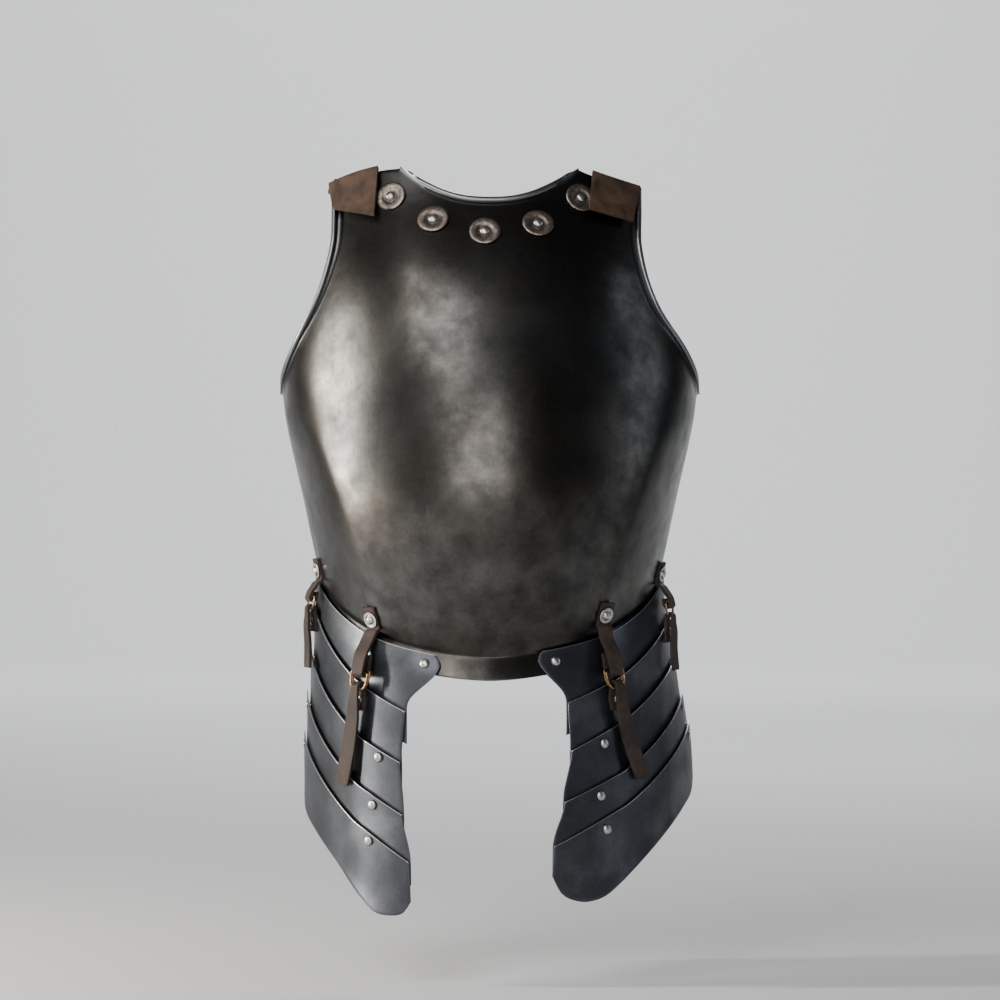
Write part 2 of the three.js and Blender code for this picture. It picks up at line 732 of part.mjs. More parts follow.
function rosetteRing() {
  const { radius, bevel, rim, dishTop, dishBottom, dish, sides } = rosette;
  return turned([
    [hole.radius, 0],
    [radius, 0],
    [radius - bevel, rim],
    [dishTop, rim],
    [dishBottom, dish],
    [hole.radius, dish],
    [hole.radius, 0],
  ], sides);
}

// ---------------------------------------------------------------- straps and rings

const ringsHold = (set) => (set.rings * 2 * ring.wire + (set.rings + 1) * ring.play + leatherThickness) / 2;
const arcHeight = (set) => set.bar + 1.5 * ring.wire - set.ringDepth;

const foldSteps = 5;

// Half a turn of leather around the rings: from the front to the back when it opens upwards.
function fold(height, off, radius, opensUp) {
  const points = [];
  for (let k = 0; k <= foldSteps; k += 1) {
    const angle = Math.PI * k / foldSteps;
    const drop = radius * Math.sin(angle) * (opensUp ? -1 : 1);
    points.push({ height: height + drop, off: off + radius * Math.cos(angle) });
  }
  return points;
}

// From under the washer, down over the lame's edge, round the bar and up behind.
function upperPath(set) {
  const radius = ringsHold(set);
  const front = strap.back + 2 * radius;
  const edge = set.washer - strap.edgeDrop;
  const slack = [0.25, 0.6].map((t) => ({
    height: mix(edge, set.bar, t),
    off: mix(strap.overEdge, front, Math.sin(t * Math.PI / 2)),
  }));
  return [
    { height: set.washer + strap.aboveWasher, off: strap.rest },
    { height: set.washer - strap.belowWasher, off: strap.rest },
    { height: edge, off: strap.overEdge },
    ...slack,
    ...fold(set.bar, strap.back + radius, radius, true).map((p) => ({ ...p, narrow: strap.bend })),
    { height: set.bar + set.backLength, off: strap.back },
  ];
}

// From the tail's end up to the rings, over them and down behind to the lower rivet.
function lowerPath(set) {
  const radius = ringsHold(set);
  const front = strap.back + 2 * radius;
  const arc = arcHeight(set);
  const tail = [...tailPath, { down: 0.12, off: front - 0.6, narrow: 0.75 }];
  return [
    ...tail.map(({ down, off, narrow }) => ({ height: mix(arc, set.tail, down), off, narrow })),
    ...fold(arc, strap.back + radius, radius, false).map((p) => ({ ...p, narrow: strap.throat })),
    { height: mix(arc, set.rivet, 0.5), ...returnPath.halfway },
    { height: set.rivet, off: strap.onLame, narrow: 1 },
    { height: set.rivet - strap.belowRivet, ...returnPath.end },
  ];
}

// A strap runs straight from its washer to the rings, and straight on from there to its tail.
const acrossStrap = (set, height) => tassets[set.side].sign * (height > set.bar
  ? THREE.MathUtils.mapLinear(height, set.washer, set.bar, set.washerAcross, set.barAcross)
  : THREE.MathUtils.mapLinear(height, set.bar, set.tail, set.barAcross, set.tailAcross));

// The directions of a strap set: sideways across the leather, and outward from the shell.
function strapFrame(set) {
  const { sideways } = placeOnShell(acrossStrap(set, set.bar), set.bar);
  return { sideways, outward: vector(sideways.y, -sideways.x, 0) };
}

function strapPoint(set, height, off) {
  return shellPoint(acrossStrap(set, height), height).addScaledVector(strapFrame(set).outward, off);
}

// A place on the shell or a lame under a strap, with the direction that stands on the leather there.
function placeUnderStrap(set, height, off, point) {
  const along = strapPoint(set, height + 1, off).sub(strapPoint(set, height - 1, off));
  return { point, normal: strapFrame(set).sideways.cross(along).normalize() };
}

function strapSheet(name, set, path, places) {
  const { sideways } = strapFrame(set);
  const centre = path.map(({ height, off }) => strapPoint(set, height, off));
  const last = centre.length - 1;
  const [outer, inner] = [1, -1].map((face) => centre.map((point, n) => {
    const along = centre[Math.min(n + 1, last)].clone().sub(centre[Math.max(n - 1, 0)]);
    const out = sideways.clone().cross(along).setLength(face * leatherThickness / 2);
    const half = strap.width / 2 * (path[n].narrow ?? 1);
    return [-1, 1].map((edge) => point.clone().add(out).addScaledVector(sideways, edge * half));
  }));
  return named(name, drill(sheet(outer, inner), places), finish.leather());
}

// The centre line of a D-ring: a nearly straight bar on top and a full arc below.
class RingLine extends THREE.Curve {
  constructor(depth) {
    super();
    this.arcDepth = depth - ring.corner;
  }

  getPoint(t, target = new THREE.Vector3()) {
    const angle = 2 * Math.PI * t;
    const above = Math.sin(angle) > 0;
    const power = 2 / (above ? 6 : 3);
    const x = ring.halfWidth * Math.sign(Math.cos(angle)) * Math.abs(Math.cos(angle)) ** power;
    const y = (above ? ring.corner : -this.arcDepth) * Math.abs(Math.sin(angle)) ** power;
    return target.set(x, y, 0);
  }
}

function ringMesh(set, number) {
  const line = new RingLine(set.ringDepth);
  const geometry = facingOut(mergeBare(
    new THREE.TubeGeometry(line, ring.along, ring.wire, ring.around, true)));
  const radius = ringsHold(set);
  const spread = (number - (set.rings - 1) / 2) * (2 * ring.wire + ring.play);
  const off = strap.back + radius + spread;
  const barHeight = set.bar + ring.wire * (ring.sit - ring.stagger * number);
  const top = strapPoint(set, barHeight, off);
  const bottom = strapPoint(set, barHeight - set.ringDepth, off);
  const up = top.clone().sub(bottom).normalize();
  const sideways = strapFrame(set).sideways.clone();
  sideways.addScaledVector(up, -sideways.dot(up)).normalize();
  const mesh = named(`${set.name}_ring_${number + 1}`, geometry, finish.ring());
  mesh.quaternion.setFromRotationMatrix(
    new THREE.Matrix4().makeBasis(sideways, up, sideways.clone().cross(up)));
  mesh.position.copy(top).addScaledVector(up, -ring.corner);
  return mesh;
}

// ---------------------------------------------------------------- shoulder straps

// The point that lies off the plate by a distance and is seen from the front at x and height.
function offPlate(side, x, height, off) {
  const { sign } = tassets[side];
  let baseX = x;
  let baseHeight = height;
  let place;
  for (let step = 0; step < 5; step += 1) {
    place = placeOnShell(sign * acrossAtX(baseX, baseHeight), baseHeight, off);
    baseX += x - Math.abs(place.point.x);
    baseHeight += height - place.point.z;
  }
  return place.point;
}

function shoulderStrap(set, places) {
  const columns = 3;
  const middle = shoulderPath.map((row) => {
    const points = [];
    for (let i = 0; i <= columns; i += 1) {
      const part = i / columns;
      const innerX = mix(mix(set.inner.topX, set.inner.endX, row.front), set.tongue.innerX, row.tongue);
      const outerX = mix(mix(set.outer.topX, set.outer.endX, row.front), set.tongue.outerX, row.tongue);
      const x = mix(innerX, outerX, part);
      const endHeight = mix(set.inner.endHeight, set.outer.endHeight, part);
      const height = mix(shoulderHeight(set.side, x) - row.below, endHeight, row.front);
      const lift = row.off > 2 ? set.outerLift * part * part : 0;
      points.push(offPlate(set.side, x, height, row.off + lift));
    }
    return points;
  });
  const normals = gridNormals(middle);
  const outer = offsetGrid(middle, normals, leatherThickness / 2);
  const inner = offsetGrid(middle, normals, -leatherThickness / 2);
  return named(`${set.side}_shoulder_strap`, drill(sheet(outer, inner), places), finish.leather());
}

// ---------------------------------------------------------------- assembly

const breastplateParts = new THREE.Group();
const plateHoles = [];
const strapHoles = {};

for (const spot of rosettes) {
  const side = Math.sign(spot.x);
  const place = placeOnShell(side * acrossAtX(Math.abs(spot.x), spot.height), spot.height);
  const layers = shoulderStraps.some((set) => set.rosette === spot.name)
    ? -shoulderPath[0].off + leatherThickness / 2
    : plateThickness;
  const stand = rosette.lift + rosette.dish + gap;
  plateHoles.push(place);
  strapHoles[spot.name] = place;
  breastplateParts.add(standing(
    `rosette_${spot.name}`, rosetteRing(), finish.rosette(), place, rosette.lift));
  breastplateParts.add(standing(
    `rosette_rivet_${spot.name}`, domedRivet(stand + layers + peenGap), finish.rivet(), place, stand));
}
for (const set of shoulderStraps) {
  breastplateParts.add(shoulderStrap(set, [strapHoles[set.rosette]]));
}

const tassetParts = new THREE.Group();
for (const [side, tasset] of Object.entries(tassets)) {
  const lameHoles = tasset.lames.map(() => []);

  // A rivet through the top of one lame and what lies behind it.
  const joint = (name, number, across, height, head, innerFace) => {
    const place = placeOnLame(side, number, across, height);
    const behind = place.point.clone().sub(innerFace).dot(place.normal);
    lameHoles[number].push(place);
    if (number > 0) lameHoles[number - 1].push(place);
    tassetParts.add(standing(
      name, domedRivet(gap + behind + peenGap, head.radius, head.height), finish.rivet(), place, gap));
    return place;
  };
  const lameBehind = (number, across, height) => {
    const place = placeOnLame(side, number - 1, across, height);
    return place.point.addScaledVector(place.normal, -lameThickness);
  };

  for (const { lame: count, across, height } of frontRivets[side]) {
    if (count === 1) {
      const flange = placeOnShell(tasset.sign * across, height, -plateThickness);
      plateHoles.push(joint(`${side}_tip_rivet`, 0, across, height, rivet, flange.point));
    } else {
      joint(`${side}_lame_rivet_${count}`, count - 1, across, height, rivet,
        lameBehind(count - 1, across, height));
    }
  }
  for (const count of [3, 4, 5]) {
    const height = edgeHeight(tasset.lames[count - 1], turnAt(rearRivet.across)) - rearRivet.belowEdge;
    joint(`${side}_rear_lame_rivet_${count}`, count - 1, rearRivet.across, height, rearRivet,
      lameBehind(count - 1, rearRivet.across, height));
  }

  for (const set of strapSets.filter((one) => one.side === side)) {
    const top = placeUnderStrap(set, set.washer, strap.rest, strapPoint(set, set.washer, 0));
    const leatherFace = strapPoint(set, set.washer, strap.rest).sub(top.point).dot(top.normal)
      + leatherThickness / 2;
    plateHoles.push(top);
    tassetParts.add(strapSheet(`${set.name}_upper_strap`, set, upperPath(set), [top]));
    tassetParts.add(standing(
      `${set.name}_strap_rivet`, flangedRivet(leatherFace + gap + plateThickness + peenGap),
      finish.rivet(), top, leatherFace + gap));

    const across = Math.abs(acrossStrap(set, set.rivet));
    const onLame = placeOnLame(side, 1, across, set.rivet).point;
    const low = placeUnderStrap(set, set.rivet, strap.onLame, onLame);
    const faceBelow = strapPoint(set, set.rivet, strap.onLame).sub(low.point).dot(low.normal)
      + leatherThickness / 2;
    const behind = low.point.clone().sub(lameBehind(1, across, set.rivet)).dot(low.normal);
    lameHoles[0].push(low);
    lameHoles[1].push(low);
    tassetParts.add(strapSheet(`${set.name}_lower_strap`, set, lowerPath(set), [low]));
    tassetParts.add(standing(`${set.name}_lower_rivet`,
      domedRivet(faceBelow + behind + strap.rivetGap + peenGap, rearRivet.radius, rearRivet.height),
      finish.rivet(), low, faceBelow + strap.rivetGap));
    for (let number = 0; number < set.rings; number += 1) tassetParts.add(ringMesh(set, number));
  }
  tasset.lames.forEach((row, number) => tassetParts.add(lameSheet(side, number, lameHoles[number])));
}
breastplateParts.add(breastplate(plateHoles));

const root = new THREE.Group();
root.add(breastplateParts, tassetParts);
export default root;
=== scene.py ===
# A blackened steel breastplate with two hanging tassets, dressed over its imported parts.
# Lengths in the dictionaries and tables are in millimetres and turned into metres where a mesh is made.
import math
from functools import lru_cache

import bmesh
import bpy
from mathutils import Matrix, Vector, noise


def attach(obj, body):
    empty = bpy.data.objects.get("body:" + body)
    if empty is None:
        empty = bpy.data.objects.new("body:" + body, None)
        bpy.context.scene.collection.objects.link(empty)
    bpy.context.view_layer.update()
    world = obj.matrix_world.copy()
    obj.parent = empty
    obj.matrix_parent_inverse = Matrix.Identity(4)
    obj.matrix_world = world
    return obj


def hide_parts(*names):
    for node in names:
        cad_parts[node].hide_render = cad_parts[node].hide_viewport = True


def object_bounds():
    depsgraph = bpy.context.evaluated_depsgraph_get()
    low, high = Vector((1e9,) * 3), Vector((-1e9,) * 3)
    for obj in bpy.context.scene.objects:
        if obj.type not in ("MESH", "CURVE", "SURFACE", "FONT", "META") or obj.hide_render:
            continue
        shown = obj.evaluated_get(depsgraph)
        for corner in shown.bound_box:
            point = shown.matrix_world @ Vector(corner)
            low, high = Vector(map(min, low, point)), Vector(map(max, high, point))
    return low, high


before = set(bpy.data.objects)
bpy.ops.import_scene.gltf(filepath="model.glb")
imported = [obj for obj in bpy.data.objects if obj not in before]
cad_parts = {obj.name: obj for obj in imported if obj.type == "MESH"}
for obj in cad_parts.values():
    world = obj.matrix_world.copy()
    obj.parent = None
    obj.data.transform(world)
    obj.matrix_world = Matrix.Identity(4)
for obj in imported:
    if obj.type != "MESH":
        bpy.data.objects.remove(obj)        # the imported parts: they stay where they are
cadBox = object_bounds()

mm = 0.001


# small helpers for modelling by operators
def deselectAll():
    if bpy.context.object and bpy.context.object.mode != "OBJECT":
        bpy.ops.object.mode_set(mode="OBJECT")
    bpy.ops.object.select_all(action="DESELECT")


def makeActive(piece):
    deselectAll()
    piece.select_set(True)
    bpy.context.view_layer.objects.active = piece


def addModifier(piece, kind, **settings):   # added and applied at once
    makeActive(piece)
    modifier = piece.modifiers.new(kind.title(), kind)
    for name, value in settings.items():
        setattr(modifier, name, value)
    bpy.ops.object.modifier_apply(modifier=modifier.name)


def bevelEdges(piece, width, segments):   # rounds only the edges of the sheet
    addModifier(piece, "BEVEL", width=width * mm, segments=segments, limit_method="ANGLE",
                angle_limit=math.radians(50))


def smoothByAngle(piece, degrees):
    makeActive(piece)
    bpy.ops.object.shade_smooth_by_angle(angle=math.radians(degrees))


def finishPiece(piece, material, slot, *nodes):
    piece.data.materials.clear()
    piece.data.materials.append(material)
    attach(piece, "root")
    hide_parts(*nodes)
    return piece


def mix(a, b, t):
    return a + (b - a) * t


def smoothStep(value, low, high):
    t = min(max((value - low) / (high - low), 0), 1)
    return t * t * (3 - 2 * t)


def readTable(rows, value):   # a smooth curve through the rows, read at a value of their first column
    last = len(rows) - 1
    i = 0
    while i < last - 1 and value > rows[i + 1][0]:
        i += 1
    before, low, high, after = rows[max(i - 1, 0)], rows[i], rows[i + 1], rows[min(i + 2, last)]
    span = high[0] - low[0]
    t = min(max((value - low[0]) / span, 0), 1)
    found = []
    for a, b, c, d in zip(before[1:], low[1:], high[1:], after[1:]):
        start = (c - a) / (high[0] - before[0]) * span
        end = (d - b) / (after[0] - low[0]) * span
        rise = c - b
        bend = 3 * rise - 2 * start - end
        found.append(b + t * (start + t * (bend + t * (start + end - 2 * rise))))
    return found


def solve(rising, value, low, high):   # where a rising function reaches a value
    for _ in range(26):
        middle = (low + high) / 2
        if rising(middle) < value:
            low = middle
        else:
            high = middle
    return (low + high) / 2


# the form of the plate, and of the skirt below its waist
plate = {
    "thickness": 1.6, "sideFullness": 0.45,
    "waistHeight": -347, "waistDip": 0.5,
    "neckHalfWidth": 77.5, "neckBottom": -35, "neckPower": 2.4,
    "ridgeHeight": 2.6, "ridgeHalfWidth": 60, "ridgeStart": -225, "ridgeFull": -395,
    "halfColumns": 24, "rows": 26, "armRow": 11, "neckColumn": 16,
    "planishing": 0.22, "planishingSize": 34, "edge": 0.35,
}
# height, half width, depth, corner x, corner depth, softness
plateForm = [
    (-425, 135, 138, 87, 101, 13),
    (-368, 146, 166, 100, 121, 13),
    (-283, 164, 186, 127, 126, 14),
    (-198, 181, 178, 150, 104, 22),
    (-145, 176, 164, 143, 100, 32),
    (-100, 168, 146, 126, 99, 38),
    (-60, 163, 122, 118, 86, 40),
    (-30, 160, 102, 115, 73, 40),
    (10, 157, 82, 112, 58, 40),
]
# height, how far in front of the side edge the left and the right armhole pass
armhole = [
    (-197, 8, 8), (-187, 34, 36), (-170, 61.5, 65), (-140, 85, 93.5),
    (-105, 89.5, 98), (-70, 83, 88.5), (-40, 69.5, 73.5), (-17, 59.5, 63.5),
]
shoulders = {
    "left": {"column": 0, "inner": -3.2, "outer": -12.2, "power": 1.9},
    "right": {"column": 1, "inner": -4.7, "outer": -18.9, "power": 0.85},
}
# drop below the waist, how far the skirt stands out at the front, the left side and the right side
flare = [
    (0, 0, 0, 0), (20, 9, 0.5, 1), (60, 14, 2, 5), (100, 17, 5, 13),
    (135, 20, 7.5, 21), (170, 23, 10, 26), (230, 27, 12, 30),
]


def bezier(a, b, c, d, t):
    u = 1 - t
    return a * u ** 3 + 3 * b * u * u * t + 3 * c * u * t * t + d * t ** 3


# across runs from -1 at the left side edge over 0 at the front to 1 at the right side edge
def platePoint(across, height):
    halfWidth, depth, cornerX, cornerDepth, softness = readTable(plateForm, height)
    run = math.hypot(halfWidth, depth)
    handleX, handleY = halfWidth / run * softness, depth / run * softness
    reach = abs(across)
    if reach < 0.5:
        x = bezier(0, cornerX / 2, cornerX - handleX, cornerX, reach * 2)
        y = bezier(-depth, -depth, -cornerDepth - handleY, -cornerDepth, reach * 2)
    else:
        t = reach * 2 - 1
        x = bezier(cornerX, cornerX + handleX, halfWidth, halfWidth, t)
        y = bezier(-cornerDepth, -cornerDepth + handleY, -cornerDepth * plate["sideFullness"], 0, t)
    fade = smoothStep(plate["ridgeStart"] - height, 0, plate["ridgeStart"] - plate["ridgeFull"])
    y -= plate["ridgeHeight"] * fade * max(0, 1 - x / plate["ridgeHalfWidth"]) ** 2
    return Vector((math.copysign(x, across), y, height))


def acrossAtX(x, height):
    return solve(lambda a: platePoint(a, height).x, x, 0, 1)


def acrossAtDepth(depth, height):
    return solve(lambda a: platePoint(a, height).y, -depth, 0, 1)


@lru_cache(maxsize=None)
def waistHeight(across):
    height = plate["waistHeight"]
    for _ in range(12):
        height = plate["waistHeight"] + plate["waistDip"] * platePoint(across, height).y
    return height


@lru_cache(maxsize=None)
def waistFrame(across):   # where the skirt starts, its outward direction, and how much of it is front
    level = waistHeight(across)
    start = platePoint(across, level)
    before = platePoint(across - 0.01, level)
    after = platePoint(min(across + 0.01, 1), level)
    outward = Vector((after.y - before.y, before.x - after.x, 0)).normalized()
    depth = readTable(plateForm, level)[1]
    return start, outward, min(max(-start.y / depth, 0), 1)


def skirtPoint(across, height, offset=0):
    start, outward, frontShare = waistFrame(across)
    front, left, right = readTable(flare, waistHeight(across) - height)
    point = start + outward * (mix(left if across < 0 else right, front, frontShare) + offset)
    point.z = height
    return point


@lru_cache(maxsize=None)
def turnAt(across):   # how far round the hip from the front, in degrees
    level = waistHeight(across)
    point = platePoint(across, level)
    halfWidth, depth = readTable(plateForm, level)[:2]
    return math.degrees(math.atan2(abs(point.x) / halfWidth, -point.y / depth))


def shellPoint(across, height):
    return platePoint(across, height) if height > waistHeight(across) else skirtPoint(across, height)


def placeOnShell(across, height, offset=0):   # point, direction that stands on it, level direction
    sideways = shellPoint(across + 0.01, height) - shellPoint(across - 0.01, height)
    up = shellPoint(across, height + 1) - shellPoint(across, height - 1)
    normal = sideways.cross(up).normalized()
    sideways.z = 0
    return shellPoint(across, height) + normal * offset, normal, sideways.normalized()


def acrossOnShell(x, height):
    side = math.copysign(1, x)
    return side * solve(lambda a: abs(shellPoint(side * a, height).x), abs(x), 0.02, 0.98)


# metal and leather are grids laid on their form, then given their thickness
def gridSheet(name, points):   # points[row][column], in mm; it faces the way its rows and columns turn
    rows, columns = len(points), len(points[0])
    deselectAll()
    bpy.ops.mesh.primitive_grid_add(x_subdivisions=columns - 1, y_subdivisions=rows - 1, size=1)
    piece = bpy.context.object
    piece.name = name
    piece.data.name = name
    for j in range(rows):
        for i in range(columns):
            piece.data.vertices[j * columns + i].co = Vector(points[j][i]) * mm
    return piece


def gridNormals(points):
    rows, columns = len(points) - 1, len(points[0]) - 1
    normals = []
    for j, row in enumerate(points):
        normals.append([])
        for i in range(len(row)):
            across = row[min(i + 1, columns)] - row[max(i - 1, 0)]
            up = points[min(j + 1, rows)][i] - points[max(j - 1, 0)][i]
            normals[j].append(across.cross(up).normalized())
    return normals


def measureUv(piece, points):   # lays the map out in metres: u across the sheet, v along it
    rows, columns = len(points), len(points[0])
    u = [[0.0] * columns for _ in range(rows)]
    v = [[0.0] * columns for _ in range(rows)]
    for j in range(rows):
        for i in range(columns):
            if i:
                u[j][i] = u[j][i - 1] + (points[j][i] - points[j][i - 1]).length * mm
            if j:
                v[j][i] = v[j - 1][i] + (points[j][i] - points[j - 1][i]).length * mm
    for j in range(rows):
        middle = u[j][-1] / 2
        u[j] = [value - middle for value in u[j]]
    layer = piece.data.uv_layers.active
    for loop in piece.data.loops:
        j, i = divmod(loop.vertex_index, columns)
        layer.data[loop.index].uv = (u[j][i], v[j][i])


# the turned edges of neck and armholes: a flat run and its turn in degrees, then a curl on a radius
rolls = {
    "neck": {"flat": 3.6, "flatTurn": 14, "radius": 2.9, "curl": 268},
    "armTop": {"flat": 9, "flatTurn": 52, "radius": 2.8, "curl": 232},
    "armBottom": {"flat": 6.2, "flatTurn": 52, "radius": 1.9, "curl": 225},
    "flatSteps": 3, "curlSteps": 8, "endFade": 0.22,
}
flangeDrops = (19, 15, 10.5, 6.5, 3.5, 1.4)
waistSupport = 0.12   # how far above the waist a close row keeps its crease, in rows


@lru_cache(maxsize=None)
def armTopX(side):
    shoulder = shoulders[side]
    depth = armhole[-1][1 + shoulder["column"]]
    return platePoint(acrossAtDepth(depth, shoulder["outer"]), shoulder["outer"]).x


def shoulderHeight(side, x):
    shoulder, neck = shoulders[side], plate["neckHalfWidth"]
    part = min(max((x - neck) / (armTopX(side) - neck), 0), 1.4)
    return mix(shoulder["inner"], shoulder["outer"], part ** shoulder["power"])


def plateHalf(side):   # one half as a patch blended from its four edges: rows of (across, height)
    halfColumns, rows = plate["halfColumns"], plate["rows"]
    shoulder = shoulders[side]
    armStart = plate["armRow"] / rows
    neckEnd = plate["neckColumn"] / halfColumns
    armBottom = armhole[0][0]

    def bottom(s):
        return s, waistHeight(s)

    def centre(t):
        return 0, mix(waistHeight(0), plate["neckBottom"], t)

    @lru_cache(maxsize=None)
    def outer(t):
        if t <= armStart:
            return 1, mix(plate["waistHeight"], armBottom, t / armStart)
        height = mix(armBottom, shoulder["outer"], (t - armStart) / (1 - armStart))
        return acrossAtDepth(readTable(armhole, height)[shoulder["column"]], height), height

    @lru_cache(maxsize=None)
    def top(s):
        if s <= neckEnd:
            part = s / neckEnd
            x = plate["neckHalfWidth"] * part
            rise = shoulder["inner"] - plate["neckBottom"]
            height = plate["neckBottom"] + rise * part ** plate["neckPower"]
        else:
            x = mix(plate["neckHalfWidth"], armTopX(side), (s - neckEnd) / (1 - neckEnd))
            height = shoulderHeight(side, x)
        return acrossAtX(x, height), height

    half = []
    for j in [0, waistSupport] + list(range(1, rows + 1)):
        t = j / rows
        row = []
        for i in range(halfColumns + 1):
            s = i / halfColumns
            row.append([
                mix(centre(t)[k], outer(t)[k], s) + mix(bottom(s)[k], top(s)[k], t)
                - mix(mix(bottom(0)[k], bottom(1)[k], s), mix(top(0)[k], top(1)[k], s), t)
                for k in (0, 1)])
        half.append(row)
    return half


def plateGrid():
    halfColumns = plate["halfColumns"]
    columns = range(-halfColumns, halfColumns + 1)
    rows = [[skirtPoint(i / halfColumns, waistHeight(i / halfColumns) - drop) for i in columns]
            for drop in flangeDrops]
    for left, right in zip(plateHalf("left"), plateHalf("right")):
        row = [(left if i < 0 else right)[abs(i)] for i in columns]
        rows.append([platePoint(math.copysign(across, i), height)
                     for i, (across, height) in zip(columns, row)])
    return rows


def planished(point):   # the soft unevenness that hammer work leaves
    return plate["planishing"] * noise.noise(point / plate["planishingSize"])


def bendPath(bends):   # (length, degrees, steps) in turn: points out from the edge and up from the face
    out = up = angle = 0
    path = []
    for length, turn, steps in bends:
        half = math.radians(turn / steps) / 2
        for _ in range(steps):
            angle += half
            out += length / steps * math.cos(angle)
            up += length / steps * math.sin(angle)
            angle += half
            path.append((out, up))
    return path


def rollAt(kind, other, part, share):   # the turned edge between two forms, share 0 where it runs out
    a, b = rolls[kind], rolls[other]
    form = {key: mix(a[key], b[key], part) for key in a}
    curl = form["curl"] * share
    return bendPath([
        (form["flat"] * mix(0.25, 1, share), form["flatTurn"] * share, rolls["flatSteps"]),
        (form["radius"] * math.radians(form["curl"]) * mix(0.12, 1, share), curl, rolls["curlSteps"]),
    ])


def plateEdges(points, normals):   # for each border point that is turned over: (point, away, normal, path)
    halfColumns, neckColumn = plate["halfColumns"], plate["neckColumn"]
    first = len(flangeDrops) + 1 + plate["armRow"]
    last = len(points) - 1
    edges = {}
    for i in range(halfColumns - neckColumn, halfColumns + neckColumn + 1):
        part = abs(i - halfColumns) / neckColumn
        share = 1 - smoothStep(part, 1 - rolls["endFade"] * 1.6, 1.02)
        away = points[last][i] - points[last - 1][i]
        along = points[last][i + 1] - points[last][i - 1]
        edges[(last, i)] = (away, along, rollAt("neck", "neck", 0, share))
    for i, inside in ((0, 1), (2 * halfColumns, 2 * halfColumns - 1)):
        for j in range(first, last + 1):
            part = (j - first) / (last - first)
            share = smoothStep(part, -0.06, 0.05)
            away = points[j][i] - points[j][inside]
            along = points[min(j + 1, last)][i] - points[j - 1][i]
            edges[(j, i)] = (away, along, rollAt("armBottom", "armTop", part, share))
    for key, (away, along, path) in edges.items():
        j, i = key
        normal = normals[j][i]
        away = away - normal * away.dot(normal)
        along = along.normalized()
        away = (away - along * away.dot(along)).normalized()
        edges[key] = (points[j][i], away, normal, path)
    return edges


def makeBreastplate():
    outerPoints = plateGrid()
    normals = gridNormals(outerPoints)
    points = [[p - n * (plate["thickness"] - planished(p)) for p, n in zip(row, line)]
              for row, line in zip(outerPoints, normals)]
    edges = plateEdges(points, normals)
    piece = gridSheet("breastplatePlate", points)
    columns = len(points[0])
    order = piece.data.attributes.new("borderPoint", "INT", "POINT")
    for n in range(len(piece.data.vertices)):
        order.data[n].value = n if divmod(n, columns) in edges else -1
    makeActive(piece)
    bpy.ops.object.mode_set(mode="EDIT")
    bpy.ops.mesh.select_mode(type="EDGE")
    bpy.ops.mesh.select_all(action="DESELECT")
    shape = bmesh.from_edit_mesh(piece.data)
    mark = shape.verts.layers.int["borderPoint"]
    for edge in shape.edges:
        if edge.is_boundary and all(v[mark] >= 0 for v in edge.verts):
            ends = [divmod(v[mark], columns) for v in edge.verts]
            edge.select = ends[0][0] == ends[1][0] == len(points) - 1 or ends[0][1] == ends[1][1]
    bmesh.update_edit_mesh(piece.data)
    for step in range(rolls["flatSteps"] + rolls["curlSteps"]):   # the border is turned over bend by bend
        bpy.ops.mesh.extrude_edges_move()
        shape = bmesh.from_edit_mesh(piece.data)
        mark = shape.verts.layers.int["borderPoint"]
        for vertex in shape.verts:
            if vertex.select:
                point, away, normal, path = edges[divmod(vertex[mark], columns)]
                out, up = path[step]
                vertex.co = (point + away * out + normal * up) * mm
        bmesh.update_edit_mesh(piece.data)
    bpy.ops.object.mode_set(mode="OBJECT")
    wearAndHighlight = piece.data.attributes.new("wearAndHighlight", "FLOAT", "POINT")   # the rolls are coloured a lighter grey: wear, with a painted highlight along the bead
    flat = len(points) * columns
    for n in range(len(piece.data.vertices)):
        wearAndHighlight.data[n].value = 1 if n >= flat else 0
    addModifier(piece, "SUBSURF", levels=2, render_levels=2)
    addModifier(piece, "SOLIDIFY", thickness=plate["thickness"] * mm, offset=1)
    bevelEdges(piece, plate["edge"], 2)
    smoothByAngle(piece, 40)
    return piece


# lames of the tassets
lame = {
    "thickness": 1.2, "gap": 0.35, "frontTurn": 25, "middleTurn": 55, "sideTurn": 88,
    "firstLift": 1.2, "lift": 3.4, "midLift": 2, "fall": 50, "fallPower": 1.3,
    "firstOverlap": 27, "overlap": 19, "overlapLoss": 7, "innerBend": 0.62,
    "columns": 56, "rows": 18, "edge": 0.34, "noseRound": 0.032, "noseShare": 0.16,
    "nosePower": 2.4, "edgeShare": 0.012,
}
# top edge heights at the front, the middle and the side of the hip, and the x of the inner corner;
# the tip gives the bottom edge of the last lame by its turn round the hip
tassets = {
    "left": {
        "sign": -1, "tipInnerX": 65,
        "lames": [(-414.5, -392.5, -350, 37), (-467, -427, -366, 69), (-511, -470, -410, 73),
                  (-553, -509, -452, 71), (-588, -539.5, -487, 65)],
        "tip": [(23, -621), (26, -632), (31, -635), (37, -632), (44, -616), (54, -595), (70, -571),
                (84, -553), (88, -540)],
    },
    "right": {
        "sign": 1, "tipInnerX": 52,
        "lames": [(-411.5, -391.5, -350, 37), (-457, -426, -384, 64), (-498, -462, -422, 67),
                  (-537, -501.5, -455, 61), (-568, -528, -480, 52)],
        "tip": [(18, -600), (21, -615), (26, -622), (31, -623), (37, -618), (45, -602), (60, -577),
                (76, -552), (85, -539), (88, -528)],
    },
}
outerAcross = solve(turnAt, lame["sideTurn"], 0, 1)


